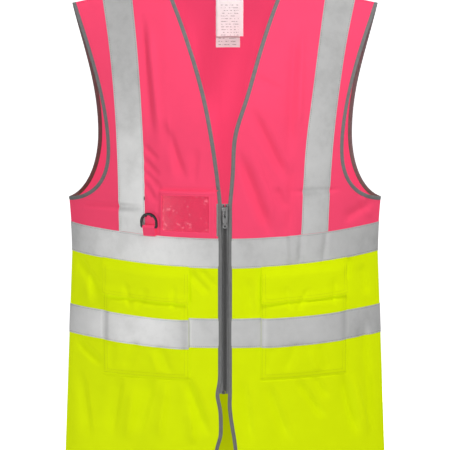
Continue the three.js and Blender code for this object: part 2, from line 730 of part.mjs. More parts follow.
for (const [hand, side] of [[RIGHT, 'right'], [LEFT, 'left']]) {
  const on = (map) => onHand(hand, map);
  addTape(BACK, `${side}_back_brace_tape`, on(brace(BACK)), BRACE_COLUMNS, UPPER_ROWS);
  addBinding(BACK, `${side}_back_armhole_binding`, on(armholeBinding(backArmhole)), 1, CURVED_ROWS);
  addPanel(FRONT, `${side}_front_upper_panel`, on(frontUpper), FRONT_COLUMNS, UPPER_ROWS, PINK);
  addPanel(FRONT, `${side}_front_lower_panel`, on(frontLower), FRONT_COLUMNS, LOWER_ROWS, YELLOW);
  addTape(FRONT, `${side}_front_brace_tape`, on(brace(FRONT)), BRACE_COLUMNS, UPPER_ROWS);
  addTape(FRONT, `${side}_front_upper_hoop_tape`, on(upperHoop), FRONT_COLUMNS, 2);
  addTape(FRONT, `${side}_front_lower_hoop_tape`, on(lowerHoop), FRONT_COLUMNS, 1);
  addBinding(FRONT, `${side}_front_edge_binding`, on(frontEdgeBinding), 1, EDGE_ROWS);
  addBinding(FRONT, `${side}_front_armhole_binding`, on(armholeBinding(frontArmhole)), 1, CURVED_ROWS);
  addBinding(FRONT, `${side}_front_hem_binding`, on(hemOnFront), FRONT_COLUMNS, 1);
  add(vest, `${side}_pocket`, pocketPouch(hand), YELLOW);
  add(vest, `${side}_pocket_tape`, pocketTape(hand), SILVER);
  add(vest, `${side}_pocket_flap`, flap(hand), YELLOW);
  add(vest, `${side}_pocket_loop_patch`, patch(hand, onPocket), YELLOW);
  add(vest, `${side}_flap_hook_patch`, patch(hand, hookFace), YELLOW);
  add(zipGroup, `${side}_zip_tape`, zipTape(hand), GREY);
  add(zipGroup, `${side}_zip_coil`, coil(hand), DARK_GREY);
  add(zipGroup, `${side}_zip_top_stop`, topStop(hand), DARK_GREY);
}

add(zipGroup, 'zip_insertion_pin', insertionPin(), DARK_GREY);
add(zipGroup, 'zip_retainer_box', retainerBox(), DARK_GREY);
add(zipGroup, 'zip_slider', slider(), METAL);
add(zipGroup, 'zip_puller', puller(), METAL).position.set(0, pivotY, pivotZ);

add(vest, 'id_pocket_frame', idFrame(), PINK);
add(vest, 'id_pocket_window', idClearSheet(), CLEAR);

const ringGroup = groupOnBody(FRONT, -RING_AT, axleZ);
add(ringGroup, 'd_ring', ringGeometry(), BLACK).position.y = -axleOut;
add(ringGroup, 'd_ring_loop', loopGeometry(), PINK).position.y = -axleOut;

export default vest;
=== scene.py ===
import json
import math

import bmesh
import bpy
import numpy as np
from mathutils import Matrix, Vector


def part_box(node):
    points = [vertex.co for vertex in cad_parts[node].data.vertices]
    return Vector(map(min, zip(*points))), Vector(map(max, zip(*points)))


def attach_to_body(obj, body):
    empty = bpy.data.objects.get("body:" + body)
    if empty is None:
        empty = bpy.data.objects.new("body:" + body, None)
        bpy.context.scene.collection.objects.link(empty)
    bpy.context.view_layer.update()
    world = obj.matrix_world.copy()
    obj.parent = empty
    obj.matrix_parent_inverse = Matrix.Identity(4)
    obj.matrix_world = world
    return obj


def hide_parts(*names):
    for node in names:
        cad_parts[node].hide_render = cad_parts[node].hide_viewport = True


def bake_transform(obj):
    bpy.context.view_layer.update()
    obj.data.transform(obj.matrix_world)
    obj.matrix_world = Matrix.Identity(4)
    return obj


# The looks of a zip-front high-visibility vest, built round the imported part.
# Metres. +Z is up, the front faces -Y and +X is the wearer's left.
# Every cloth piece is a thin closed sheet laid on one body form: a point of the form at (x, z),
# plus a distance along its outward normal. All layers share the same folds, so they stay apart.

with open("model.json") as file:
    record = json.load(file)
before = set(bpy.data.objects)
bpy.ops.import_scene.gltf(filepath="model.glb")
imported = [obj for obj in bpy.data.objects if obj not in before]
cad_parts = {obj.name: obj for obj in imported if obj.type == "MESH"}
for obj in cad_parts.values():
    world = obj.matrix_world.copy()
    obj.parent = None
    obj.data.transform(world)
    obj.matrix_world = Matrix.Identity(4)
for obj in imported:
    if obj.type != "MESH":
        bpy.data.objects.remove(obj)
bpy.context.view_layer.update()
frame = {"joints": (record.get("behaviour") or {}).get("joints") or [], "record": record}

MM = 0.001
FRONT, BACK = -1, 1
RIGHT, LEFT = -1, 1
HANDS = {"right": RIGHT, "left": LEFT}
JOINTS = {joint["name"]: joint for joint in frame["joints"]}


def low(node):
    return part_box(node)[0]


def high(node):
    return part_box(node)[1]


# Sizes that the frame gives

TAPE_FACE = 2 * MM            # a tape's outer face in the frame, from the body form
LENGTH = -low("back_hem_binding").z
NECK_HALF = high("back_neck_binding").x
CHEST_HALF = high("back_upper_hoop_tape").x - 1.5 * TAPE_FACE
HEM_HALF = high("back_hem_binding").x - 0.4 * TAPE_FACE
TAPE_WIDTH = high("back_upper_hoop_tape").z - low("back_upper_hoop_tape").z
UPPER_DROP = -low("left_front_upper_hoop_tape").z - TAPE_WIDTH
UPPER_RISE = high("left_front_upper_hoop_tape").z + UPPER_DROP
LOWER_DROP = -low("left_front_lower_hoop_tape").z - TAPE_WIDTH
LOWER_RISE = high("left_front_lower_hoop_tape").z + LOWER_DROP
BACK_DEPTH = high("back_upper_panel").y - TAPE_FACE
CHEST_DEPTH = -low("left_front_upper_panel").y - TAPE_FACE + 0.2 * MM
UNDERARM_DROP = -low("left_front_armhole_binding").z - 5.7 * MM
POCKET_START = low("left_pocket").x - 0.4 * MM
POCKET_END = high("left_pocket").x - 6 * MM
POCKET_BOTTOM = -low("left_pocket").z - 0.6 * MM
MOUTH_DROP = UPPER_DROP + TAPE_WIDTH + 17.5 * MM
FLAP_LENGTH = 61 * MM
ID_NEAR = -high("id_pocket_frame").x
ID_FAR = -low("id_pocket_frame").x - 2.7 * MM
ID_TOP = -high("id_pocket_frame").z
ZIP_TOP = high("left_zip_top_stop").z
ZIP_BOTTOM = low("zip_insertion_pin").z

# The body form

SEAM = 0.6 * MM               # each side of a side or shoulder seam
FLARE_START = 450 * MM
HEM_FLARE = (HEM_HALF - CHEST_HALF) / (LENGTH - FLARE_START)
UNDERARM_EASE = 8.5 * MM
EASE_LENGTH = 180 * MM
CHEST_LINE = 360 * MM
FRONT_SLOPE = 0.0625
FRONT_REACH = 250 * MM
BACK_REACH = 220 * MM
ROUNDNESS = 0.85
TURN_OVER = 0.8
SHOULDER_HALF = 257 * MM
SHOULDER_FALL = 0.21
BACK_NECK_DROP = 22 * MM
FRONT_EDGE = low("left_front_edge_binding").x
ARMHOLE_HALF = {FRONT: 197 * MM, BACK: 219 * MM}
ARMHOLE_NARROW = {FRONT: 275 * MM, BACK: 255 * MM}

# Cloth and trim, as distances from the body form

PANEL = 0.45 * MM             # half a panel's thickness
TAPE_IN, TAPE_OUT = 0.5 * MM, 1.0 * MM
HOOP_OUT = 1.15 * MM
BINDING = 6.2 * MM            # width
BINDING_HALF = 1.15 * MM      # half its thickness
IN_BINDING = 3 * MM           # how far a panel's edge lies inside its binding
STITCH = 0.3 * MM            # thread radius
CELL = 3 * MM                 # size of a cloth grid's cells


def smooth(value):
    share = np.clip(value, 0, 1)
    return share * share * (3 - 2 * share)


def bump(distance, width):
    return np.exp(-((distance / width) ** 2))


def unit(vectors):
    return vectors / np.linalg.norm(vectors, axis=-1, keepdims=True)


def half_width(z):
    below = -FLARE_START - z
    return np.where(below > 0, CHEST_HALF + HEM_FLARE * below,
                    CHEST_HALF + UNDERARM_EASE * smooth(-below / EASE_LENGTH))


def shoulder_height(x):
    return -SHOULDER_FALL * np.maximum(0, np.abs(x) - NECK_HALF)


def body_point(side, x, z):
    reach = BACK_REACH if side == BACK else FRONT_REACH
    depth = BACK_DEPTH if side == BACK else CHEST_DEPTH + FRONT_SLOPE * np.minimum(0, z + CHEST_LINE)
    hang = np.clip((shoulder_height(x) - z) / reach, 0, 1)
    across = np.clip(np.abs(x) / half_width(z), 0, 1)
    section = (1 - across ** 2) ** ROUNDNESS
    y = side * (SEAM + depth * np.sin(math.pi / 2 * hang) ** TURN_OVER * section)
    return np.stack([x, y, z], -1)


def body_normal(side, x, z):
    step = 0.5 * MM
    limit = half_width(z) - 2 * step
    x = np.clip(x, -limit, limit)
    z = np.minimum(z, shoulder_height(x) - 2 * step)
    across = body_point(side, x + step, z) - body_point(side, x - step, z)
    rise = body_point(side, x, z + step) - body_point(side, x, z - step)
    return unit(np.cross(across, rise) * -side)


# Folds. Each is a soft ridge or valley along a line: x and z of its start and of its end, its width
# and its height, in mm. A fold is steeper on one flank, as cloth that is pushed over itself is.

FOLD_SCALE = 2.7              # on the heights below
GENTLE = 2.5                  # a flank is at least this wide for a fold 1 mm high, in mm
STEEP = 0.42                  # width of a fold's steep flank against its easy one
SWELL = 1.9 * MM              # height of the soft unevenness everywhere
SEAM_CALM = 26 * MM           # folds fade over this distance from a seam
FOLDS = {
    FRONT: [
        (-141, -40, -117, -262, 9, -2.6), (-126, -60, -104, -270, 13, 1.6),
        (-104, -215, -62, -330, 11, -2.4), (-96, -205, -84, -318, 8, 1.4),
        (-136, -262, -108, -292, 3.4, -1.3), (-136, -284, -106, -318, 3.4, -1.4),
        (-135, -304, -104, -338, 3.6, -1.3), (-134, -322, -112, -362, 3.4, -1.2),
        (-262, -371, -126, -368, 3.2, -1.1), (-46, -262, -52, -330, 9, -1.2),
        (119, -50, 106, -300, 9, -2.4), (128, -70, 121, -250, 9, 1.3),
        (40, -196, 108, -330, 9, -2.8), (18, -262, 80, -424, 8, -3), (40, -262, 88, -400, 9, 1.5),
        (112, -290, 106, -420, 7, -1.6), (84, -330, 104, -372, 6, -1.6),
        (98, -341, 200, -341, 3, -0.9), (258, -366, 196, -398, 12, -1.8),
        (250, -400, 225, -352, 9, 1.1), (45, -150, 98, -176, 8, -1.1),
        (129, -392, 124, -474, 5, -1.0), (98, -396, 104, -470, 5, 0.9),
        (170, -404, 164, -468, 5, -0.8), (-62, -470, -22, -512, 8, -1.6),
        (-44, -466, -14, -500, 6, -1.2), (-262, -450, -200, -530, 10, -2.4),
        (-262, -600, -206, -645, 8, -2.4), (-232, -470, -230, -548, 9, 1.2),
        (-66, -650, -26, -760, 9, -3), (-60, -700, -52, -775, 10, 1.8),
        (-118, -652, -150, -762, 13, -2.2), (-96, -652, -112, -770, 10, 1.8),
        (-176, -652, -196, -770, 14, -2.4), (-150, -668, -168, -775, 12, 1.8),
        (-248, -655, -232, -780, 12, -1.8), (40, -480, 44, -560, 9, -1.4),
        (30, -650, 46, -775, 10, -1.8), (70, -660, 112, -775, 10, -2),
        (118, -655, 172, -736, 7, -2.2), (150, -655, 178, -700, 6, -1.4),
        (198, -648, 232, -778, 9, -3), (214, -655, 250, -778, 9, 2),
        (236, -560, 258, -775, 11, -2.4), (212, -455, 207, -500, 6, -1.4),
        (232, -470, 246, -530, 10, -1.6),
    ],
    BACK: [
        (-92, -36, -22, -300, 12, 2.2), (-66, -40, -30, -330, 11, -2),
        (-24, -60, -6, -360, 13, 1.4), (84, -40, 30, -330, 12, 2), (58, -50, 18, -300, 10, -1.6),
        (-150, -60, -112, -380, 14, -2.4), (150, -70, 118, -380, 14, -2.2),
        (-240, -380, -150, -470, 13, -2.6), (240, -380, 160, -480, 13, -2.4),
        (-60, -500, -84, -775, 15, -3), (-20, -480, -8, -775, 14, 2.2),
        (64, -520, 90, -775, 15, -3), (-190, -600, -212, -775, 14, -3),
        (190, -600, 216, -775, 14, -2.8), (136, -610, 150, -775, 13, 2.2),
        (-140, -610, -146, -775, 13, 2.2),
    ],
}

# Creases are drawn in by stitching: narrow valleys on the front beside the pockets, under the flaps
# and round the card pocket. Written as folds are, with a depth in place of a height.

POCKET_CREASE = 2.2 * MM      # how far outside a pocket's stitched edge its crease lies
FLAP_CREASE = 2.4 * MM        # how far below a flap's edge
ID_CREASE = 1.8 * MM
CREASES = []


def add_pocket_creases(sign):
    near = sign * (POCKET_START - POCKET_CREASE) / MM
    far = sign * (POCKET_END + POCKET_CREASE) / MM
    top, foot = -MOUTH_DROP / MM + 6, -(POCKET_BOTTOM + POCKET_CREASE) / MM
    edge = -(UPPER_DROP + TAPE_WIDTH + FLAP_LENGTH + FLAP_CREASE) / MM
    rise = UPPER_RISE / MM
    CREASES.extend([
        (near, top, near, foot - 3, 1.6, 0.25),
        (far, top, far, foot - 3, 1.6, 0.25),
        (near - 3 * sign, foot, far + 3 * sign, foot, 1.8, 1.4),
        (near, edge + 0.06 * rise, far, edge + 0.62 * rise, 2.2, 1.6),
    ])


def add_card_creases():
    top, foot = (ID_CREASE - ID_TOP) / MM, -UPPER_DROP / MM
    near, far = (ID_CREASE - ID_NEAR) / MM, -(ID_FAR + ID_CREASE) / MM
    CREASES.extend([
        (near, top + 6, near, foot, 2.6, 1.2),
        (far, top + 6, far, foot, 2.6, 1.2),
        (near + 6, top, far - 6, top, 2.4, 1.6),
    ])


add_pocket_creases(RIGHT)
add_pocket_creases(LEFT)
add_card_creases()


def ridge(x, z, line, flanks, taper=0.3):
    """A ridge 1 high along a line (x0, z0, x1, z1), with its two flanks' widths, tapering to its ends."""
    x0, z0, x1, z1 = line
    length = math.hypot(x1 - x0, z1 - z0)
    along = ((x - x0) * (x1 - x0) + (z - z0) * (z1 - z0)) / length ** 2
    off = ((x - x0) * (z1 - z0) - (z - z0) * (x1 - x0)) / length
    return bump(off, np.where(off > 0, *flanks)) * smooth(along / taper) * smooth((1 - along) / taper)


def ridges_on(s, t, size, lines, turned=False):
    """Ridges over a patch of cloth of a size in mm. Lines are shares across and down it, with a width
    and a height in mm; turned mirrors them."""
    scale = np.array([*size, *size])
    total = 0
    for s0, t0, s1, t1, width, height in lines:
        line = scale * ((1 - s0, t0, 1 - s1, t1) if turned else (s0, t0, s1, t1))
        total = total + height * ridge(s * size[0], t * size[1], line, (width, width))
    return MM * total


def fold_height(side, x, z):
    swell = np.sin(x / 0.031 + 2.1 * np.sin(z / 0.11) + side) * np.sin(z / 0.094 + x / 0.07)
    ripple = np.sin(x / 0.0125 + 1.7 * np.sin(z / 0.05) + 2 * side)
    near_hem = smooth((-z - 0.6) / 0.2)
    total = SWELL * swell * (0.6 + 0.8 * near_hem) + 0.5 * MM * near_hem * ripple
    at = (x / MM, z / MM)
    for *line, width, height in FOLDS[side]:
        least = GENTLE * math.sqrt(FOLD_SCALE * abs(height))
        flanks = (max(width, least), max(width * STEEP, least))
        total = total + MM * FOLD_SCALE * height * ridge(*at, line, flanks)
    for *line, width, depth in CREASES if side == FRONT else ():
        total = total - MM * depth * ridge(*at, line, (width, width), taper=0.05)
    calm = smooth((half_width(z) - np.abs(x)) / SEAM_CALM) * smooth((shoulder_height(x) - z) / SEAM_CALM)
    return total * calm


def sway(side, x, z):
    """How far the cloth near the front edges strays sideways from the cut, as each front hangs."""
    if side == BACK:
        return 0 * x
    hand = np.sign(x)
    near_neck = bump(x, 90 * MM)
    near_edge = bump(x, 60 * MM)
    right = (-2.8 * bump(z + 0.170, 0.09) * near_neck
             + (4.4 * bump(z + 0.683, 0.018) - 1.5 * bump(z + 0.735, 0.03)
                + 6.5 * smooth((-0.750 - z) / 0.035)) * near_edge)
    left = (-8.0 * bump(z + 0.245, 0.05) * near_neck
            + (-0.5 * bump(z + 0.700, 0.012) + 10 * smooth((-0.700 - z) / 0.09)) * near_edge)
    return hand * MM * np.where(hand < 0, right, left)


def skin(side, x, z, distance):
    """A point of the cloth at (x, z), at a distance out from the body form."""
    x, z, distance = np.broadcast_arrays(*[np.asarray(v, float) for v in (x, z, distance)])
    moved = x + sway(side, x, z)
    lift = (distance + fold_height(side, moved, z))[..., None]
    return body_point(side, moved, z) + body_normal(side, moved, z) * lift


# Edges of the cloth, as (x, z) on the wearer's left

def bezier(points, q):
    a, b, c, d = [np.array(p) * MM for p in points]
    q = np.asarray(q, float)[..., None]
    return a * (1 - q) ** 3 + 3 * b * q * (1 - q) ** 2 + 3 * c * q ** 2 * (1 - q) + d * q ** 3


def neck_edge(q):
    return bezier([(NECK_HALF / MM, 0), (57, -85), (18, -220), (FRONT_EDGE / MM, -360)], q)


def armhole_edge(side):
    narrow, drop = ARMHOLE_HALF[side] / MM, ARMHOLE_NARROW[side] / MM
    top = (SHOULDER_HALF / MM, float(shoulder_height(SHOULDER_HALF)) / MM)
    underarm = (float(half_width(-UNDERARM_DROP)) / MM, -UNDERARM_DROP / MM)
    waist = (narrow, -drop)
    upper = [top, (top[0] + 0.37 * (narrow - top[0]), -100), (narrow, 85 - drop), waist]
    lower = [waist, (narrow, -55 - drop),
             (narrow + 0.42 * (underarm[0] - narrow), 6 + underarm[1]), underarm]

    def edge(q):
        q = np.asarray(q, float)
        return np.where((q < 0.5)[..., None], bezier(upper, np.clip(2 * q, 0, 1)),
                        bezier(lower, np.clip(2 * q - 1, 0, 1)))
    return edge


def inside(edge, cloth, q, distance):
    """A point a distance inside the cloth from a finished edge. At the shoulder it stays on the seam."""
    q = np.asarray(q, float)
    step = 0.002
    at = edge(q)
    along = unit(edge(np.minimum(q + step, 1)) - edge(np.maximum(q - step, 0)))
    into = np.stack([-along[..., 1], along[..., 0]], -1) * cloth
    seam = np.array([1, -SHOULDER_FALL]) / math.hypot(1, SHOULDER_FALL) * cloth
    turn = smooth(q / 0.15)[..., None]
    way = unit(seam * (1 - turn) + into * turn)
    reach = np.asarray(distance)[..., None] / np.sum(way * into, -1, keepdims=True)
    return at + way * reach


def hoop_top(side, hoop, x):
    drop, rise = {"upper": (UPPER_DROP, UPPER_RISE), "lower": (LOWER_DROP, LOWER_RISE)}[hoop]
    if side == BACK:
        return -drop + rise + 0 * x
    return -drop + rise * (x / CHEST_HALF) ** 2


def colour_line(side, x):
    return hoop_top(side, "upper", x) - TAPE_WIDTH / 2


# Materials

class Nodes:
    """Adds nodes to a tree. Inputs are sockets or plain values."""

    def __init__(self, tree):
        self.tree = tree

    def put(self, node, inputs):
        for key, value in inputs.items():
            if isinstance(value, bpy.types.NodeSocket):
                self.tree.links.new(value, node.inputs[key])
            else:
                node.inputs[key].default_value = value

    def add(self, kind, inputs=None, **settings):
        made = self.tree.nodes.new(kind)
        for key, value in settings.items():
            setattr(made, key, value)
        self.put(made, inputs or {})
        return made

    def math(self, operation, first, second=0.0):
        return self.add("ShaderNodeMath", {0: first, 1: second}, operation=operation).outputs[0]

    def times(self, first, second):
        return self.math("MULTIPLY", first, second)

    def scaled(self, value, factor, base):
        return self.math("ADD", self.times(value, factor), base)

    def weighted(self, first, share, second, other):
        return self.math("ADD", self.times(first, share), self.times(second, other))

    def ramp(self, factor, *stops):
        made = self.add("ShaderNodeValToRGB", {"Fac": factor})
        band = made.color_ramp
        while len(band.elements) < len(stops):
            band.elements.new(0.5)
        for element, (position, colour) in zip(band.elements, stops):
            element.position = position
            element.color = (*colour, 1)
        return made.outputs["Color"]


class Paint(Nodes):
    """A material on one Principled shader."""

    def __init__(self, name):
        self.material = bpy.data.materials.new(name)
        self.material.use_nodes = True
        super().__init__(self.material.node_tree)
        self.shader = self.tree.nodes["Principled BSDF"]

    def along(self, kind):
        """What every piece carries with it, in metres: distances along its cloth, or its place at rest."""
        return self.add("ShaderNodeAttribute", attribute_name=kind).outputs["Vector"]

    def noise(self, vector, size, detail=2.0, roughness=0.5):
        return self.add("ShaderNodeTexNoise", {"Vector": vector, "Scale": 1 / size, "Detail": detail,
                                               "Roughness": roughness}).outputs["Fac"]

    def ridges(self, vector, period, direction, distortion=0.0):
        """Even parallel ridges: the yarns of a weave or the wales of a knit."""
        return self.add("ShaderNodeTexWave", {"Vector": vector, "Scale": 2 * math.pi / (20 * period),
                                              "Distortion": distortion, "Detail": 0.0},
                        bands_direction=direction).outputs["Fac"]

    def cells(self, vector, size, **settings):
        return self.add("ShaderNodeTexVoronoi", {"Vector": vector, "Scale": 1 / size},
                        **settings).outputs["Distance"]

    def over(self, factor, under, colour):
        """Lays a plain colour over another by a factor."""
        return self.add("ShaderNodeMix", {"Factor": factor, "A": under, "B": (*colour, 1)},
                        data_type="RGBA").outputs["Result"]

    def finish(self, inputs, height=None, depth=0.0, strength=1.0):
        """Sets the shader's inputs and its bump."""
        self.put(self.shader, inputs)
        if height is not None:
            bumps = self.add("ShaderNodeBump", {"Height": height, "Strength": strength, "Distance": depth})
            self.put(self.shader, {"Normal": bumps.outputs["Normal"]})
        return self.material


def linear(hex_colour):
    values = [int(hex_colour[i:i + 2], 16) / 255 for i in (0, 2, 4)]
    return tuple(v / 12.92 if v <= 0.04045 else ((v + 0.055) / 1.055) ** 2.4 for v in values)


def shade(colour, factor):
    return tuple(min(1.0, c * factor) for c in colour)


PINK, YELLOW = linear("FF4D74"), linear("DAEE00")


def knit_material(name, colour, painted_glow, base, painted_glow_colour=None):
    """A close, smooth warp knit in a fluorescent dye: fine wales crossed by courses. Its emission is a painted
    glow, an even light of its own that stands in for the dye's fluorescent brightness.
    """
    paint = Paint(name)
    cloth, place = paint.along("cloth"), paint.along("place")
    loops = paint.times(paint.ridges(cloth, 0.9 * MM, "X", 0.4), paint.ridges(cloth, 0.62 * MM, "Y", 0.4))
    uneven, fuzz = paint.noise(place, 34 * MM, 3.0), paint.noise(place, 1.3 * MM)
    return paint.finish({
        "Base Color": paint.ramp(paint.weighted(uneven, 0.75, fuzz, 0.25),
                                 (0.3, shade(colour, base * 0.93)), (0.7, shade(colour, base))),
        "Roughness": paint.scaled(fuzz, 0.12, 0.78),
        "Specular IOR Level": 0.12,
        "Sheen Weight": 0.08,
        "Sheen Roughness": 0.4,
        "Sheen Tint": (*colour, 1),
        # Painted glow: even emission that lifts the knit's brightness, standing in for fluorescence.
        "Emission Color": (*(painted_glow_colour or colour), 1),
        "Emission Strength": painted_glow,
    }, paint.math("ADD", loops, paint.times(fuzz, 0.4)), 0.12 * MM, 0.5)


def tape_material(name):
    """Silver-grey tape: a satin coat of tiny glass beads over woven cloth, a little creased and marked."""
    paint = Paint(name)
    cloth, place = paint.along("cloth"), paint.along("place")
    beads = paint.cells(place, 0.55 * MM, feature="SMOOTH_F1")
    weave = paint.times(paint.ridges(cloth, 0.7 * MM, "X"), paint.ridges(cloth, 0.7 * MM, "Y"))
    marks, scuffs = paint.noise(place, 16 * MM, 5.0, 0.62), paint.noise(place, 55 * MM, 3.0)
    return paint.finish({
        "Base Color": paint.ramp(paint.weighted(marks, 0.45, scuffs, 0.55), (0.34, (0.60, 0.60, 0.595)),
                                 (0.5, (0.68, 0.68, 0.675)), (0.68, (0.73, 0.73, 0.725))),
        "Roughness": paint.scaled(marks, 0.12, 0.58),
        "Metallic": 0.5,
        "Specular IOR Level": 0.4,
    }, paint.weighted(beads, 0.8, weave, 0.25), 0.06 * MM, 0.35)


def binding_material(name, colour, period=0.8 * MM):
    """A narrow woven tape with a slanting twill line."""
    paint = Paint(name)
    cloth, place = paint.along("cloth"), paint.along("place")
    twill, yarns = paint.ridges(cloth, period, "DIAGONAL", 0.3), paint.ridges(cloth, 0.6 * period, "Y")
    worn = paint.noise(place, 9 * MM, 4.0)
    height = paint.weighted(twill, 0.7, yarns, 0.3)
    return paint.finish({
        "Base Color": paint.ramp(paint.weighted(height, 0.35, worn, 0.65),
                                 (0.25, shade(colour, 0.82)), (0.75, shade(colour, 1.16))),
        "Roughness": paint.scaled(worn, 0.15, 0.7),
        "Sheen Weight": 0.15,
        "Specular IOR Level": 0.3,
    }, height, 0.1 * MM, 0.6)


def plastic_material(name, colour, roughness, metallic=0.0):
    paint = Paint(name)
    place = paint.along("place")
    fine, broad = paint.noise(place, 0.5 * MM, 3.0), paint.noise(place, 7 * MM, 3.0)
    return paint.finish({
        "Base Color": paint.ramp(paint.weighted(fine, 0.4, broad, 0.6),
                                 (0.3, shade(colour, 0.85)), (0.7, shade(colour, 1.15))),
        "Roughness": paint.scaled(broad, 0.2, roughness - 0.1),
        "Metallic": metallic,
        "Specular IOR Level": 0.35,
    }, fine, 0.03 * MM, 0.4)


def film_material(name):
    """Clear flexible film over pink cloth: glossy, with pale flecks at random painted in as small highlights,
    and an even pink emission as a painted glow.
    """
    paint = Paint(name)
    place = paint.along("place")
    cloud = paint.noise(place, 12 * MM, 4.0)
    tone = paint.ramp(cloud, (0.35, shade(PINK, 0.4)), (0.7, shade(PINK, 0.52)))
    highlight_spots = paint.times(paint.noise(place, 4.5 * MM), paint.noise(place, 19 * MM, 1.0))
    # Pale flecks where the noise is high: painted highlights.
    painted_highlights = paint.times(paint.math("GREATER_THAN", highlight_spots, 0.35), 0.4)
    return paint.finish({
        "Base Color": paint.over(painted_highlights, tone, (0.95, 0.6, 0.66)),
        "Roughness": paint.scaled(cloud, 0.15, 0.2),
        "Alpha": 0.34,
        "Specular IOR Level": 0.18,
        # Painted glow in the cloth's pink.
        "Emission Color": (*PINK, 1),
        "Emission Strength": 0.38,
    }, paint.noise(place, 11 * MM, 1.0), 0.6 * MM, 0.5)


def label_material(name, tone_low, tone_high, lines):
    """Satin label cloth. Rows of short pale grey bars stand for its print."""
    paint = Paint(name)
    cloth, place = paint.along("cloth"), paint.along("place")
    split = paint.add("ShaderNodeSeparateXYZ", {"Vector": cloth})
    weave = paint.times(paint.ridges(cloth, 0.5 * MM, "X"), paint.ridges(cloth, 0.35 * MM, "Y"))
    rows = paint.math("GREATER_THAN", paint.ridges(cloth, lines, "Y"), 0.86)
    bars = paint.math("GREATER_THAN", paint.noise(cloth, 3.5 * MM, 1.0), 0.5)
    inner = paint.math("LESS_THAN", paint.math("ABSOLUTE", split.outputs["X"]), 15 * MM)
    below = paint.math("GREATER_THAN", split.outputs["Y"], 9 * MM)
    ink = paint.times(paint.times(rows, bars), paint.times(inner, below))
    paper = paint.ramp(paint.noise(place, 12 * MM, 3.0), (0.3, (tone_low,) * 3), (0.7, (tone_high,) * 3))
    printed = paint.over(paint.times(ink, 0.7), paper, (0.16, 0.16, 0.165))
    return paint.finish({
        "Base Color": printed,
        "Roughness": 0.55,
        "Sheen Weight": 0.1,
        # Painted glow: emission that brightens the labels where they hang in shade inside the neck.
        "Emission Color": printed,
        "Emission Strength": 0.2,
    }, weave, 0.05 * MM, 0.4)


def pile_material(name, colour, size):
    """Hook or loop fastener: a dense pile."""
    paint = Paint(name)
    pile = paint.cells(paint.along("place"), size)
    tone = paint.ramp(pile, (0.1, shade(colour, 1.1)), (0.8, shade(colour, 0.6)))
    return paint.finish({"Base Color": tone, "Roughness": 0.9}, pile, 0.4 * MM, 0.8)


MATERIALS = {
    "pink_cloth": knit_material("pink_knit", PINK, 0.34, 0.68),
    "yellow_cloth": knit_material("yellow_knit", YELLOW, 0.40, 0.68),
    "reflective_tape": tape_material("bead_tape"),
    "grey_binding": binding_material("binding_twill", linear("787878")),
    "zip_tape": binding_material("zip_herringbone", linear("909090"), 1.1 * MM),
    "zip_plastic": plastic_material("zip_nylon", linear("5A5A5A"), 0.4),
    "zip_metal": plastic_material("zip_paint", linear("A0A0A0"), 0.3, metallic=0.6),
    "black_plastic": plastic_material("ring_plastic", linear("101414"), 0.42),
    "clear_film": film_material("film"),
    "hook_and_loop": pile_material("fastener_pile", YELLOW, 0.9 * MM),
    "label_cloth": label_material("label_satin", 0.78, 0.86, 4.6 * MM),
}
SIZE_LABEL = label_material("label_satin_size", 0.62, 0.7, 5.4 * MM)
# The panels' inside faces get lit and shaded copies of the same knit: the pink inside has a strong, bluer
# painted glow (painted light), and the yellow inside is darker (painted shade).
PINK_INSIDE_PAINTED_GLOW = (0.58, 0.046, 0.118)
PINK_INSIDE_PAINTED_LIGHT = knit_material("pink_knit_inside", linear("F0446E"), 1.0, 0.5, PINK_INSIDE_PAINTED_GLOW)
YELLOW_INSIDE_PAINTED_SHADE = knit_material("yellow_knit_inside", linear("D0E000"), 0.36, 0.6)
# The yellow thread is real stitching, darkened far below the cloth so that it also paints the shadow along the
# pockets' and flaps' stitched edges.
THREADS = {
    name: binding_material("thread_" + name, colour, 0.3 * MM)
    for name, colour in (("grey", linear("747474")), ("dark", linear("5A5A5A")),
                         ("pink", shade(PINK, 0.75)), ("yellow", shade(YELLOW, 0.42)))
}

# Meshes

BODIES = frame["record"]["behaviour"]["bodies"]
BODY_OF = {node: body for body, nodes in BODIES.items() for node in nodes}
# A front hangs from the shoulder seam, so these run from the back's body to the front's on the way down; they
# are not parented to a body, only baked where they lie.
TURNING = ("front_upper_panel", "front_brace_tape", "front_edge_binding", "front_armhole_binding")
flats = {}


def make_object(name, vertices, faces, cloth=None, sharp=50, material=None):
    mesh = bpy.data.meshes.new(name)
    mesh.from_pydata(np.asarray(vertices, float).tolist(), [], [list(map(int, f)) for f in faces])
    mesh.validate()
    place = mesh.attributes.new("place", "FLOAT_VECTOR", "POINT")
    place.data.foreach_set("vector", np.asarray(vertices, np.float32).ravel())
    if cloth is None:
        cloth = vertices
    along = mesh.attributes.new("cloth", "FLOAT_VECTOR", "POINT")
    along.data.foreach_set("vector", np.asarray(cloth, np.float32).ravel())
    turn_faces_out(mesh)
    mesh.polygons.foreach_set("use_smooth", [True] * len(mesh.polygons))
    mesh.set_sharp_from_angle(angle=math.radians(sharp))
    made = bpy.data.objects.new(name, mesh)
    bpy.context.scene.collection.objects.link(made)
    if material:
        mesh.materials.append(material)
    return made


def turn_faces_out(mesh):
    """Closed meshes only: flips every face if the volume they enclose is negative."""
    mesh.calc_loop_triangles()
    co = np.empty(len(mesh.vertices) * 3)
    mesh.vertices.foreach_get("co", co)
    tris = np.empty(len(mesh.loop_triangles) * 3, int)
    mesh.loop_triangles.foreach_get("vertices", tris)
    a, b, c = co.reshape(-1, 3)[tris.reshape(-1, 3)].transpose(1, 0, 2)
    if np.einsum("ij,ij->i", a, np.cross(b, c)).sum() < 0:
        mesh.flip_normals()


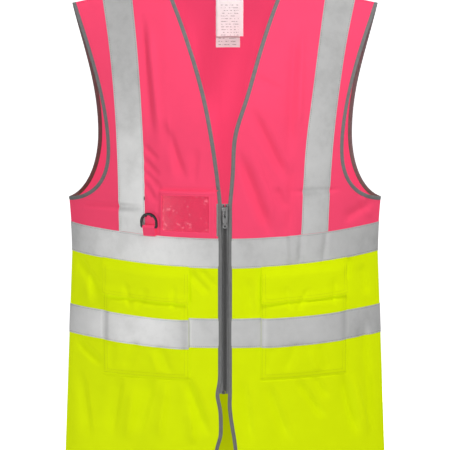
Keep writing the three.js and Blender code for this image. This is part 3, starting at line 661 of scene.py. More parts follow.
def sheet(name, outer, inner, mask=None, material=None, lining=None):
    """A closed thin sheet between two grids of points, with any masked cells left open."""
    rows, columns = outer.shape[0] - 1, outer.shape[1] - 1
    index = np.arange(outer.shape[0] * outer.shape[1]).reshape(outer.shape[:2])
    quads = np.stack([index[:-1, :-1], index[1:, :-1], index[1:, 1:], index[:-1, 1:]], -1)
    if mask is None:
        mask = np.ones((rows, columns), bool)
    front = quads[mask]
    count = index.size
    edges = np.concatenate([front[:, [k, (k + 1) % 4]] for k in range(4)])
    key = np.sort(edges, 1)
    _, inverse, counts = np.unique(key, axis=0, return_inverse=True, return_counts=True)
    border = edges[counts[inverse.ravel()] == 1]
    rim = np.stack([border[:, 1], border[:, 0], border[:, 0] + count, border[:, 1] + count], -1)
    faces = np.concatenate([front, front[:, ::-1] + count, rim])
    middle = (outer + inner) / 2
    across = np.linalg.norm(np.diff(middle, axis=1), axis=-1)
    down = np.linalg.norm(np.diff(middle, axis=0), axis=-1)
    u = np.concatenate([np.zeros((rows + 1, 1)), np.cumsum(across, 1)], 1)
    u = u - u[:, columns // 2][:, None]
    v = np.concatenate([np.zeros((1, columns + 1)), np.cumsum(down, 0)], 0)
    cloth = np.stack([u, v, 0 * u], -1).reshape(-1, 3)
    points = np.concatenate([outer.reshape(-1, 3), inner.reshape(-1, 3)])
    used = np.unique(faces)
    renumber = np.zeros(2 * count, int)
    renumber[used] = np.arange(len(used))
    made = make_object(name, points[used], renumber[faces], np.concatenate([cloth, cloth])[used],
                       material=material)
    # The inner faces take the copy of the cloth with painted inside light and shade.
    if lining:
        made.data.materials.append(lining)
        inside_out = np.zeros(len(faces), int)
        inside_out[len(front):2 * len(front)] = 1
        made.data.polygons.foreach_set("material_index", inside_out)
    corner = middle[:-1, :-1]
    cell_area = np.linalg.norm(np.cross(middle[1:, :-1] - corner, middle[:-1, 1:] - corner), axis=-1)
    flats[name] = (float(across.sum(1).max()), float(down.sum(0).max()), float(cell_area[mask].sum()))
    return made


def tube_faces(rings, count):
    """Faces of a closed tube, its points numbered ring by ring."""
    index = np.arange(rings * count).reshape(-1, count)
    turned = np.roll(index, -1, 1)
    walls = np.stack([index[:-1], turned[:-1], turned[1:], index[1:]], -1).reshape(-1, 4).tolist()
    return walls + [index[0][::-1].tolist(), index[-1].tolist()]


def steps(length, cell=CELL):
    return max(2, int(round(length / cell)))


def share_grid(columns, rows):
    """Shares s across and t down a sheet; a number of cells gives even ones."""
    return np.meshgrid(*[n if np.ndim(n) else np.linspace(0, 1, n + 1) for n in (columns, rows)])


def shell(name, side, mapping, inner, outer, columns, rows, **options):
    """A sheet laid on the body form. mapping(s, t) gives (x, z); inner and outer are its faces'
    distances from the form, or functions of (s, t)."""
    s, t = share_grid(columns, rows)
    x, z = mapping(s, t)
    faces = [skin(side, x, z, face(s, t) if callable(face) else face) for face in (outer, inner)]
    return sheet(name, *faces, **options)


def attach(piece, node, replaces=True):
    """Parents a piece to the body that it moves with (pieces in TURNING are only baked in place) and, unless
    told not to, hides the CAD node that it stands for.
    """
    body = BODY_OF[node]
    if node.endswith(TURNING):
        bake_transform(piece)
    else:
        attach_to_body(piece, body)
    if replaces:
        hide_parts(node)
    return piece


def declare(piece):
    """Works out the width, length and area that a piece's own grid unrolls to; nothing is done with them."""
    width, length, area = [round(v, 4) for v in flats[piece.name]]
    area = min(area, width * length)


def on_hand(hand, mapping):
    def moved(s, t):
        x, z = mapping(s, t)
        return hand * x, z
    return moved


# Stitches

STITCH_RING = [(math.cos(a), math.sin(a)) for a in np.arange(4) * math.pi / 2 + math.pi / 4]
# A stitch's sections: share along it, thickness, and height above the cloth in thread radii.
STITCH_SECTIONS = [(-0.5, 0.35, -0.7), (-0.3, 1, 0.35), (0.3, 1, 0.35), (0.5, 0.35, -0.7)]
STITCH_FACES = np.array(tube_faces(4, 4))


def stitches(name, paths, node, thread, pitch=3.2 * MM, length=2.3 * MM, radius=STITCH):
    """Rows of short raised stitches along paths, each a pair of points and outward normals."""
    vertices, faces = [], []

    def at_run(run, values, at):
        return np.array([np.interp(at, run, values[:, k]) for k in range(3)])

    for points, normals in paths:
        run = np.concatenate([[0], np.cumsum(np.linalg.norm(np.diff(points, axis=0), axis=1))])
        for at in np.arange(pitch / 2, run[-1], pitch):
            here, out = at_run(run, points, at), at_run(run, normals, at)
            along = unit(at_run(run, points, at + 0.5 * MM) - at_run(run, points, at - 0.5 * MM))
            across = unit(np.cross(out, along))
            faces += (STITCH_FACES + len(vertices)).tolist()
            for share, fat, lift in STITCH_SECTIONS:
                centre = here + along * share * length + out * lift * radius
                vertices += [centre + radius * fat * (a * across + b * out) for a, b in STITCH_RING]
    piece = make_object(name, vertices, faces, material=THREADS[thread], sharp=80)
    return attach(piece, node, replaces=False)


def line_on(side, x, z, distance):
    """A path on the cloth with its outward normals."""
    x, z = np.broadcast_arrays(np.asarray(x, float), np.asarray(z, float))
    return skin(side, x, z, distance), body_normal(side, x + sway(side, x, z), z)


def rows_along(side, mapping, lines, distance, samples=120):
    """Paths that run along s at the given heights t of a mapping."""
    s = np.linspace(0.004, 0.996, samples)
    return [line_on(side, *mapping(s, 0 * s + t), distance) for t in lines]


def columns_along(side, mapping, lines, distance, samples=120):
    t = np.linspace(0.004, 0.996, samples)
    return [line_on(side, *mapping(0 * t + s, t), distance) for s in lines]


# Panels

def toward_side(s):
    return np.sin(math.pi / 2 * s)


def between(a, b, s):
    k = toward_side(s)[..., None]
    point = a * (1 - k) + b * k
    return point[..., 0], point[..., 1]


CURVED_SHARE = 0.82           # of an upper panel's rows lie beside its armhole


def front_upper(s, t):
    q = np.clip(t / CURVED_SHARE, 0, 1)
    below = np.clip((t - CURVED_SHARE) / (1 - CURVED_SHARE), 0, 1)
    near = inside(neck_edge, 1, q, IN_BINDING)
    far = inside(armhole_edge(FRONT), -1, q, IN_BINDING)
    edge_x = FRONT_EDGE + IN_BINDING
    start = far[..., 1]
    seam_z = start + (colour_line(FRONT, CHEST_HALF) - start) * below
    edge_z = -CHEST_LINE + (colour_line(FRONT, edge_x) + CHEST_LINE) * below
    seam_x = far[..., 0] + (half_width(seam_z) - far[..., 0]) * np.minimum(1, 6 * below)
    straight = (below > 0)[..., None]
    near = np.where(straight, np.stack([0 * edge_z + edge_x, edge_z], -1), near)
    far = np.where(straight, np.stack([seam_x, seam_z], -1), far)
    return between(near, far, s)


SIDE_STRIP = 50 * MM          # the cloth beside the side seam takes up all of the flare


def spread(base, z):
    """Widens a chest-wide row of cloth to the form's width at z."""
    return base + (half_width(z) - CHEST_HALF) * smooth((base - CHEST_HALF + SIDE_STRIP) / SIDE_STRIP)


def front_columns(start, cell=CELL):
    """Columns of the lower front as shares of its width, close together at the pocket's edges."""
    even = np.linspace(0, 1, steps(1.25 * CHEST_HALF, cell) + 1)
    width = CHEST_HALF - start
    creases = np.array([POCKET_START - POCKET_CREASE, POCKET_END + POCKET_CREASE])
    near = creases[:, None] + np.arange(-6, 7) * 0.65 * MM
    near = np.arcsin(np.clip((near.ravel() - start) / width, 0, 1)) * 2 / math.pi
    keep = [s for s in even if np.min(np.abs(near - s)) > 0.003]
    return np.sort(np.concatenate([keep, near]))


def front_lower(s, t):
    edge_x = FRONT_EDGE + IN_BINDING
    x = edge_x + (CHEST_HALF - edge_x) * toward_side(s)
    top = colour_line(FRONT, x)
    z = top + (-LENGTH + IN_BINDING - top) * t
    return spread(x, z), z


def lower_rows():
    even = np.linspace(0, 1, steps(LENGTH - UPPER_DROP) + 1)
    fine = np.linspace(0.515, 0.585, 26)
    return np.sort(np.concatenate([even[(even < 0.514) | (even > 0.586)], fine]))


def neckline(x):
    share = np.minimum(1, np.abs(x) / NECK_HALF)
    return -BACK_NECK_DROP * (1 - share ** 2.6)


def back_share(s):
    """The back's columns as shares of its half width: even in the middle, crowding to the sides."""
    share = 2 * s - 1
    return np.sign(share) * toward_side(np.abs(share) ** 0.9)


def back_upper(s, t):
    q = np.clip(t / CURVED_SHARE, 0, 1)
    below = np.clip((t - CURVED_SHARE) / (1 - CURVED_SHARE), 0, 1)
    edge = inside(armhole_edge(BACK), -1, q, IN_BINDING)
    corner = inside(armhole_edge(BACK), -1, 0 * q, IN_BINDING)
    share = back_share(s)
    top_x = share * corner[..., 0]
    in_neck = smooth((NECK_HALF - np.abs(top_x)) / (3 * MM))
    top_z = shoulder_height(top_x) + (neckline(top_x) - IN_BINDING - shoulder_height(top_x)) * in_neck
    rise = (top_z - corner[..., 1]) * (1 - q) ** 2
    z = edge[..., 1] + rise
    x = share * edge[..., 0]
    low_z = edge[..., 1] + (colour_line(BACK, 0) - edge[..., 1]) * below
    low_x = share * (edge[..., 0] + (half_width(low_z) - edge[..., 0]) * np.minimum(1, 6 * below))
    return np.where(below > 0, low_x, x), np.where(below > 0, low_z, z)


def back_lower(s, t):
    top = colour_line(BACK, 0)
    z = top + (-LENGTH + IN_BINDING - top) * t
    return half_width(z) * back_share(s), z


def make_panels():
    back = steps(2.3 * CHEST_HALF)
    front = steps(1.25 * CHEST_HALF)
    upper, lower = steps(440 * MM), steps(340 * MM)
    made = [
        attach(shell("back_upper_panel_cloth", BACK, back_upper, -PANEL, PANEL, back, upper,
                     material=MATERIALS["pink_cloth"], lining=PINK_INSIDE_PAINTED_LIGHT), "back_upper_panel"),
        attach(shell("back_lower_panel_cloth", BACK, back_lower, -PANEL, PANEL, back, lower,
                     material=MATERIALS["yellow_cloth"], lining=YELLOW_INSIDE_PAINTED_SHADE), "back_lower_panel"),
    ]
    for name, hand in HANDS.items():
        made.append(attach(
            shell(name + "_front_upper_panel_cloth", FRONT, on_hand(hand, front_upper), -PANEL, PANEL,
                  front, upper, material=MATERIALS["pink_cloth"], lining=PINK_INSIDE_PAINTED_LIGHT),
            name + "_front_upper_panel"))
        made.append(attach(
            shell(name + "_front_lower_panel_cloth", FRONT, on_hand(hand, front_lower), -PANEL, PANEL,
                  front_columns(FRONT_EDGE + IN_BINDING), lower_rows(), material=MATERIALS["yellow_cloth"],
                  lining=YELLOW_INSIDE_PAINTED_SHADE),
            name + "_front_lower_panel"))
    for piece in made:
        declare(piece)


# Tapes

SEW_LINE = 2.2 * MM           # a tape's stitching to its edge
TAPE_ROWS = np.array([0, 0.8, 1.4, 2.2, 3.0, 4.0, 7, 11, 16, 20.5, 25]) / 50
TAPE_ROWS = np.concatenate([TAPE_ROWS, 1 - TAPE_ROWS[-2::-1]])
SEWN = (SEW_LINE / (50 * MM), 1 - SEW_LINE / (50 * MM))


def tape_face(outer):
    """A tape's outer face: it sinks a little along its two rows of stitches."""
    def distance(across):
        edge = np.minimum(across, 1 - across) * TAPE_WIDTH
        return outer - 0.3 * MM * bump(edge - SEW_LINE, 0.9 * MM) - 0.15 * MM * bump(edge, 0.5 * MM)
    return distance


def hoop_map(side, hoop, start=None):
    def on_front(s, t):
        x = start + (CHEST_HALF - start) * toward_side(s)
        z = hoop_top(FRONT, hoop, x) - t * TAPE_WIDTH
        return spread(x, z), z

    def on_back(s, t):
        z = hoop_top(BACK, hoop, 0) - t * TAPE_WIDTH
        return half_width(z) * back_share(s), z
    return on_back if side == BACK else on_front


BRACE = {RIGHT: (154.5 * MM, 27.3 * MM, 2.35), LEFT: (149 * MM, 45.5 * MM, 1.79)}


def brace_map(side, hand):
    """A brace leaves the shoulder seam further out than it meets the upper hoop."""
    foot, spread, power = BRACE[hand] if side == FRONT else (152 * MM, 33 * MM, 1.8)

    def mapping(s, t):
        middle = foot + spread * (1 - t) ** power
        height = shoulder_height(middle) + (-UPPER_DROP - shoulder_height(middle)) * t
        step = 0.5 * MM
        wide = body_point(side, middle + step, height) - body_point(side, middle - step, height)
        slant = 2 * step / np.linalg.norm(wide, axis=-1)
        x = middle + (s - 0.5) * TAPE_WIDTH * slant
        end = hoop_top(side, "upper", x) + 0.4 * MM
        return hand * x, shoulder_height(x) + (end - shoulder_height(x)) * t
    return mapping


def make_hoop(node, side, mapping, columns):
    face = tape_face(HOOP_OUT)
    tape = shell(node + "_strip", side, mapping, TAPE_IN, lambda s, t: face(t), columns, TAPE_ROWS,
                 material=MATERIALS["reflective_tape"])
    declare(attach(tape, node))
    stitches(node + "_stitches", rows_along(side, mapping, SEWN, HOOP_OUT - 0.3 * MM), node, "grey")


def make_brace(name, hand, side):
    node = f"{name}_{'front' if side == FRONT else 'back'}_brace_tape"
    face = tape_face(TAPE_OUT)
    mapping = brace_map(side, hand)
    tape = shell(node + "_strip", side, mapping, TAPE_IN, lambda s, t: face(s), TAPE_ROWS, steps(400 * MM),
                 material=MATERIALS["reflective_tape"])
    declare(attach(tape, node))
    stitches(node + "_stitches", columns_along(side, mapping, SEWN, TAPE_OUT - 0.3 * MM), node, "grey")


def make_tapes():
    start = FRONT_EDGE + BINDING - 1 * MM
    for hoop in ("upper", "lower"):
        make_hoop(f"back_{hoop}_hoop_tape", BACK, hoop_map(BACK, hoop), steps(2.3 * CHEST_HALF))
        for name, hand in HANDS.items():
            make_hoop(f"{name}_front_{hoop}_hoop_tape", FRONT, on_hand(hand, hoop_map(FRONT, hoop, start)),
                      front_columns(start))
    for name, hand in HANDS.items():
        make_brace(name, hand, FRONT)
        make_brace(name, hand, BACK)


# Bindings

BINDING_CLOTH = 0.4 * MM


def fold_section(count):
    """The middle line of a strip folded round an edge: how far inside the edge, and through it."""
    along = np.linspace(-1, 1, count)
    across = np.abs(along) ** 1.25
    round_end = np.clip(1 - (1 - across / 0.24) ** 2, 0, 1) ** 0.5 * (across < 0.24) + (across >= 0.24)
    tuck = smooth((across - 0.72) / 0.28)
    through = np.sign(along) * (BINDING_HALF - BINDING_CLOTH / 2) * round_end * (1 - 0.22 * tuck)
    return across * BINDING, through


def binding(node, side, place, samples):
    """A strip folded round an edge. place(q, distance) gives (x, z) that far inside the edge."""
    across, through = fold_section(21)
    turn = unit(np.stack([-np.gradient(through), np.gradient(across)], -1))
    q = np.linspace(0, 1, samples)[:, None]
    puff = 1 + 0.1 * np.sin(q * samples * 0.9) * np.sin(q * 37)
    grids = []
    for offset in (BINDING_CLOTH / 2, -BINDING_CLOTH / 2):
        x, z = place(q + 0 * across, across + turn[:, 0] * offset + 0 * q)
        grids.append(skin(side, x, z, (through + turn[:, 1] * offset) * puff))
    piece = sheet(node + "_strip", *grids, material=MATERIALS["grey_binding"])
    declare(attach(piece, node))
    q = np.linspace(0.003, 0.997, 3 * samples)
    path = line_on(side, *place(q, 0 * q + BINDING - 1.3 * MM), BINDING_HALF * 0.9)
    stitches(node + "_stitches", [path], node, "dark", 2.8 * MM, 2.0 * MM, 0.16 * MM)


def front_edge_place(q, distance):
    share = CHEST_LINE / LENGTH
    curved = inside(neck_edge, 1, np.clip(q / share, 0, 1), distance)
    z = -CHEST_LINE - (LENGTH - CHEST_LINE) * np.clip((q - share) / (1 - share), 0, 1)
    straight = q > share
    return (np.where(straight, FRONT_EDGE + distance, curved[..., 0]),
            np.where(straight, z, curved[..., 1]))


def armhole_place(side):
    edge = armhole_edge(side)

    def place(q, distance):
        point = inside(edge, -1, q, distance)
        return point[..., 0], point[..., 1]
    return place


def make_bindings():
    def neck(q, distance):
        x = NECK_HALF * (2 * q - 1)
        return x, neckline(x) - distance

    def back_hem(q, distance):
        z = -LENGTH + distance
        return half_width(z) * back_share(q), z

    def front_hem(q, distance):
        start = FRONT_EDGE + BINDING - 1 * MM
        z = -LENGTH + distance
        return spread(start + (CHEST_HALF - start) * toward_side(q), z), z

    binding("back_neck_binding", BACK, neck, 60)
    binding("back_hem_binding", BACK, back_hem, 150)
    for name, hand in HANDS.items():
        for part, side, place, samples in (("back_armhole", BACK, armhole_place(BACK), 110),
                                           ("front_armhole", FRONT, armhole_place(FRONT), 110),
                                           ("front_edge", FRONT, front_edge_place, 220),
                                           ("front_hem", FRONT, front_hem, 90)):
            binding(f"{name}_{part}_binding", side, on_hand(hand, place), samples)


# Lower pockets

POCKET_SIZE = (145, 170)      # of its folds, in mm
# Start and end as shares across and down the pocket; width and height in mm.
POCKET_FOLDS = [
    (0.34, 0.66, 0.20, 0.99, 7, -2.6), (0.44, 0.72, 0.34, 1.0, 6, 2.0),
    (0.58, 0.62, 0.74, 0.96, 8, -2.6), (0.88, 0.66, 0.94, 0.98, 7, -2.2),
    (0.16, 0.05, 0.17, 0.34, 4, -2.8), (0.46, 0.12, 0.60, 0.36, 5, -3.2),
    (0.74, 0.08, 0.66, 0.36, 5, -2.8),
]
POCKET_EDGE = 1.25 * MM
POCKET_BULGE = 5.2 * MM
POCKET_CLOTH = 0.7 * MM
TURNED = 7 * MM               # width of a pocket's stitched edge
FLAP_SHADE = 0.22             # the pocket's cloth lies flatter above this share of its height
THIN_STITCH = 0.18 * MM


def pocket_mouth(x):
    return hoop_top(FRONT, "upper", x) + UPPER_DROP - MOUTH_DROP


def pocket_map(s, t):
    x = POCKET_START + (POCKET_END - POCKET_START) * s
    top = pocket_mouth(x)
    return x, top + (-POCKET_BOTTOM - top) * t


def pocket_lift(hand):
    """How far a pocket's cloth stands off the panel: sewn down at its sides and foot, open at its mouth."""
    def lift(s, t):
        side = np.clip(4 * s * (1 - s), 0, 1) ** 0.45
        foot = np.clip((1 - t) / 0.35, 0, 1) ** 0.55
        below_flap = smooth((t - FLAP_SHADE) / 0.1)
        rise = POCKET_BULGE * side * foot * (0.3 + 0.7 * below_flap)
        rise = rise + ridges_on(s, t, POCKET_SIZE, POCKET_FOLDS, turned=hand == LEFT)
        edge = np.minimum(np.minimum(s, 1 - s) * POCKET_SIZE[0], (1 - t) * POCKET_SIZE[1]) * MM
        calm = smooth(edge / (12 * MM))
        ridge = 0.25 * MM * bump(edge - TURNED, 2.5 * MM)
        return POCKET_EDGE + rise * calm + ridge
    return lift


PATCH_DROP, PATCH_HEIGHT, PATCH_WIDTH = 26 * MM, 20 * MM, 60 * MM
FLAP_WIDTH = 146 * MM


def patch_map(s, t):
    """The hook or loop patch, in the middle of a flap."""
    x = (POCKET_START + POCKET_END) / 2 + (s - 0.5) * PATCH_WIDTH
    return x, flap_top(x) - FLAP_LENGTH + PATCH_DROP - PATCH_HEIGHT * t


def flap_top(x):
    return hoop_top(FRONT, "upper", x) - TAPE_WIDTH + 1 * MM


def sewn(mapping, lines, distance):
    """Paths on the front along lines of (s, t), at distance(s, t) from the form."""
    return [line_on(FRONT, *mapping(s, t), distance(s, t)) for s, t in lines]


def on_pocket(hand, extra):
    """Distance out of a layer that lies on the pocket, for a mapping in x and z."""
    lift = pocket_lift(hand)

    def distance(x, z):
        s = (np.abs(x) - POCKET_START) / (POCKET_END - POCKET_START)
        top = pocket_mouth(np.abs(x))
        t = (top - z) / (top + POCKET_BOTTOM)
        return lift(np.clip(s, 0, 1), np.clip(t, 0, 1)) + POCKET_CLOTH + extra
    return distance


def laid_sheet(name, mapping, distance, thickness, columns, rows, material):
    """A sheet whose distance from the form depends on where it lies."""
    s, t = share_grid(columns, rows)
    x, z = mapping(s, t)
    base = distance(x, z)
    thick = thickness(s, t) if callable(thickness) else thickness
    return sheet(name, skin(FRONT, x, z, base + thick), skin(FRONT, x, z, base), material=material)


def flap_lift(hand):
    """The flap leaves its seam under the hoop and lies over the pocket's mouth."""
    lie = on_pocket(hand, 0.9 * MM)

    def distance(x, z):
        fallen = (flap_top(np.abs(x)) - z) / FLAP_LENGTH
        across = (np.abs(x) - POCKET_START) / (POCKET_END - POCKET_START)
        open_lift = lie(x, np.minimum(z, pocket_mouth(np.abs(x)) - 4 * MM))
        start = PANEL + 0.25 * MM
        curl = 3.2 * MM * smooth((fallen - 0.7) / 0.3) * (0.4 + 0.6 * np.abs(2 * across - 1) ** 2)
        wave = 0.5 * MM * np.sin(across * 9 + 1.3 * hand) * smooth(fallen / 0.5)
        return start + (open_lift - start + 1.1 * MM) * smooth(fallen / 0.34) + curl + wave
    return distance


def make_pocket(name, hand):
    lift = pocket_lift(hand)
    columns, rows = steps(145 * MM, 2.4 * MM), steps(172 * MM, 1.8 * MM)
    wall = 2.2 * MM / (POCKET_END - POCKET_START)
    mapping = on_hand(hand, pocket_map)

    def outer(s, t):
        edge = np.minimum(np.minimum(s, 1 - s), (1 - t) * 1.17)
        return lift(s, t) + POCKET_CLOTH * np.clip(0.35 + edge / wall, 0, 1)

    cloth = shell(name + "_pocket_cloth", FRONT, mapping, lift, outer, columns, rows,
                  material=MATERIALS["yellow_cloth"])
    declare(attach(cloth, name + "_pocket"))
    tape_front = tape_face(0.55 * MM)

    def tape_map(s, t):
        x = POCKET_START + (POCKET_END - POCKET_START) * s
        drop = 3.2 * MM * (1 - s) if hand == RIGHT else 0.6 * MM * (1 - s)
        return hand * x, hoop_top(FRONT, "lower", x) - drop - t * TAPE_WIDTH

    tape = laid_sheet(name + "_pocket_tape_strip", tape_map, on_pocket(hand, 0.06 * MM),
                      lambda s, t: tape_front(t), columns, TAPE_ROWS, MATERIALS["reflective_tape"])
    declare(attach(tape, name + "_pocket_tape"))
    patch = laid_sheet(name + "_loop_patch", on_hand(hand, patch_map),
                       on_pocket(hand, 0.05 * MM), 0.35 * MM, 20, 8, MATERIALS["hook_and_loop"])
    declare(attach(patch, name + "_pocket_loop_patch"))
    lines = []
    run = np.linspace(0, 1, 90)
    for inset in (1.6 * MM, TURNED):
        a, b = inset / (POCKET_END - POCKET_START), inset / (172 * MM)
        lines += [(a + 0 * run, run * (1 - b) + 0.01), (a + (1 - 2 * a) * run, 1 - b + 0 * run),
                  (1 - a + 0 * run, (1 - run) * (1 - b) + 0.01)]
    paths = sewn(mapping, lines, lambda s, t: lift(s, t) + POCKET_CLOTH * 0.95)
    # Dark yellow thread: stitching that also paints the shadow along the pocket's edges.
    stitches(name + "_pocket_stitches", paths, name + "_pocket", "yellow", radius=THIN_STITCH)
    under_tape = on_pocket(hand, 0.06 * MM)
    s = np.linspace(0.01, 0.99, 100)
    paths = sewn(tape_map, [(s, 0 * s + t) for t in SEWN],
                 lambda s, t: under_tape(*tape_map(s, t)) + 0.25 * MM)
    stitches(name + "_pocket_tape_stitches", paths, name + "_pocket_tape", "grey")


def flap_map(s, t):
    x = POCKET_START - 0.5 * MM + (POCKET_END - POCKET_START + 1 * MM) * s
    return x, flap_top(x) - FLAP_LENGTH * t


def make_flap(name, hand):
    distance = flap_lift(hand)
    mapping = on_hand(hand, flap_map)
    flap = laid_sheet(name + "_pocket_flap_cloth", mapping, distance, 0.8 * MM,
                      steps(FLAP_WIDTH, 3 * MM), steps(FLAP_LENGTH, 2.5 * MM), MATERIALS["yellow_cloth"])
    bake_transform(flap)
    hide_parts(name + "_pocket_flap")
    declare(flap)
    lines = []
    run = np.linspace(0, 1, 80)
    for inset in (2 * MM, 6.5 * MM):
        a, b = inset / FLAP_WIDTH, inset / FLAP_LENGTH
        lines += [(a + 0 * run, 0.2 + run * (0.8 - b)), (a + (1 - 2 * a) * run, 1 - b + 0 * run),
                  (1 - a + 0 * run, 1 - b - run * (0.8 - b))]
    paths = sewn(mapping, lines, lambda s, t: distance(*mapping(s, t)) + 0.76 * MM)
    # Dark yellow thread: stitching that also paints the shadow along the flap's edges.
    stitches(name + "_flap_stitches", paths, name + "_pocket_flap", "yellow", radius=THIN_STITCH)

    def hook_distance(x, z):
        return distance(x, z) - 0.42 * MM
    hook = laid_sheet(name + "_hook_patch", on_hand(hand, patch_map), hook_distance, 0.36 * MM, 20, 8,
                      MATERIALS["hook_and_loop"])
    declare(attach(hook, name + "_flap_hook_patch"))


# Card pocket with its clear window

ID_WELT = 6 * MM
ID_SIZE = (93, 78)            # in mm
CRINKLES = [                  # on the film, written as the pocket's folds are
    (0.80, 0.36, 0.88, 0.62, 1.6, 0.55), (0.76, 0.52, 0.90, 0.50, 1.4, -0.45),
    (0.62, 0.74, 0.54, 0.92, 1.5, 0.6), (0.56, 0.66, 0.50, 0.84, 1.3, -0.5),
    (0.66, 0.86, 0.80, 0.94, 1.4, 0.5), (0.10, 0.18, 0.24, 0.14, 1.3, 0.45),
    (0.40, 0.10, 0.52, 0.30, 2.0, -0.5), (0.22, 0.50, 0.30, 0.66, 1.5, 0.4),
]


def id_map(s, t):
    x = ID_NEAR + (ID_FAR - ID_NEAR) * s
    bottom = hoop_top(FRONT, "upper", x) + 0.4 * MM
    return -x, -ID_TOP + (bottom + ID_TOP) * t


def id_lift(s, t):
    side = np.clip(4 * s * (1 - s), 0, 1) ** 0.6
    return 0.55 * MM + 2.2 * MM * side * (1 - 0.65 * t)


def make_card_pocket():
    width, height = [MM * size for size in ID_SIZE]
    columns, rows = steps(width, 1.6 * MM), steps(height, 1.6 * MM)
    s, t = np.meshgrid(*[(np.arange(n) + 0.5) / n for n in (columns, rows)])
    window = ((s * width > 11 * MM) & ((1 - s) * width > 5.5 * MM)
              & (t * height > 8.5 * MM) & ((1 - t) * height > 9 * MM))

    def outer(s, t):
        welt = 0.7 * MM * smooth((ID_WELT / height - t) / 0.012)
        return id_lift(s, t) + 0.7 * MM + welt

    cloth = shell("card_pocket_frame", FRONT, id_map, id_lift, outer, columns, rows, mask=~window,
                  material=MATERIALS["pink_cloth"])
    declare(attach(cloth, "id_pocket_frame"))

    def film_map(s, t):
        near, far = 8 * MM / width, 1 - 3 * MM / width
        top, bottom = 5 * MM / height, 1 - 5 * MM / height
        return id_map(near + (far - near) * s, top + (bottom - top) * t)

    def film_lift(s, t):
        calm = np.clip(16 * s * (1 - s) * t * (1 - t), 0, 1)
        wave = 0.3 * MM * np.sin(11 * s + 9 * t) * np.sin(17 * t - 5 * s) * calm
        return id_lift(s, t) - 0.4 * MM + wave + ridges_on(s, t, ID_SIZE, CRINKLES)

    film = shell("card_pocket_film", FRONT, film_map, film_lift, lambda s, t: film_lift(s, t) + 0.2 * MM,
                 76, 64, material=MATERIALS["clear_film"])
    declare(attach(film, "id_pocket_window"))
    run = np.linspace(0, 1, 60)
    a, b = 1.8 * MM / width, 1.8 * MM / height
    welt = ID_WELT / height
    lines = [(a + 0 * run, run), (1 - a + 0 * run, run),
             (7 * MM / width + 0 * run, welt + run * (1 - welt)),
             (a + (1 - 2 * a) * run, welt + 0 * run), (run, 1 - b + 0 * run)]
    paths = sewn(id_map, lines, lambda s, t: id_lift(s, t) + 0.68 * MM)
    stitches("card_pocket_stitches", paths, "id_pocket_frame", "pink", radius=0.17 * MM)


# Solids made from sections

def sweep(name, path, sides, outs, section, material):
    """A tube through the points of path, with its section in the plane of sides and outs."""
    path, sides, outs = [np.asarray(v, float) for v in (path, sides, outs)]
    section = np.asarray(section, float)
    if section.ndim == 2:
        section = np.repeat(section[None], len(path), 0)
    points = path[:, None] + sides[:, None] * section[..., :1] + outs[:, None] * section[..., 1:]
    faces = tube_faces(len(path), section.shape[1])
    return make_object(name, points.reshape(-1, 3), faces, material=material, sharp=60)


def oval(width, height, count=14, power=0.8):
    angle = np.arange(count) * 2 * math.pi / count
    return np.stack([width / 2 * np.sign(np.cos(angle)) * np.abs(np.cos(angle)) ** power,
                     height / 2 * np.sign(np.sin(angle)) * np.abs(np.sin(angle)) ** power], -1)


def merged(name, parts, material):
    """Several (vertices, faces) solids as one object."""
    vertices, faces = [], []
    for points, quads in parts:
        faces += [[i + len(vertices) for i in face] for face in quads]
        vertices += [list(p) for p in points]
    return make_object(name, vertices, faces, material=material, sharp=45)


def outline_solid(outlines, near, far, soft):
    """Vertices and faces of a flat outline (with holes) extruded and softly rounded at its edges.
    Outlines are in (x, z); near and far are distances out from the middle plane."""
    curve = bpy.data.curves.new("outline", "CURVE")
    curve.dimensions = "2D"
    curve.fill_mode = "BOTH"
    curve.extrude = (far - near) / 2 - soft
    curve.bevel_depth = soft
    curve.bevel_resolution = 2
    curve.offset = -soft
    for outline in outlines:
        spline = curve.splines.new("POLY")
        spline.points.add(len(outline) - 1)
        for point, (x, z) in zip(spline.points, outline):
            point.co = (x, z, 0, 1)
        spline.use_cyclic_u = True
    holder = bpy.data.objects.new("outline", curve)
    bpy.context.scene.collection.objects.link(holder)
    bpy.context.view_layer.update()
    mesh = bpy.data.meshes.new_from_object(holder.evaluated_get(bpy.context.evaluated_depsgraph_get()))
    bpy.data.objects.remove(holder)
    bpy.data.curves.remove(curve)
    middle = (near + far) / 2
    welded = weld(mesh)
    vertices = [(v.co.x, v.co.z + middle, v.co.y) for v in welded.vertices]
    faces = [tuple(p.vertices) for p in welded.polygons]
    bpy.data.meshes.remove(welded)
    return vertices, faces


def weld(mesh):
    work = bmesh.new()
    work.from_mesh(mesh)
    bmesh.ops.remove_doubles(work, verts=work.verts, dist=1e-6)
    bmesh.ops.recalc_face_normals(work, faces=work.faces)
    work.to_mesh(mesh)
    work.free()
    return mesh


def in_frame(parts, origin, across, out, up):
    """Moves (x, out, up) solids into the row frame."""
    basis = np.array([across, out, up])
    return [(np.asarray(points) @ basis + np.asarray(origin), faces) for points, faces in parts]


# The ring and its loop

ring_joint = JOINTS["d_ring_swing"]
ring_axis = unit(np.array(ring_joint["axis"]))
ring_origin = np.array(ring_joint["pos_m"])


def ring_frame():
    out = body_normal(FRONT, ring_origin[0], ring_origin[2])
    out = unit(out - ring_axis * (out @ ring_axis))
    up = np.cross(out, ring_axis)
    return ring_axis, out, up if up[2] > 0 else -up


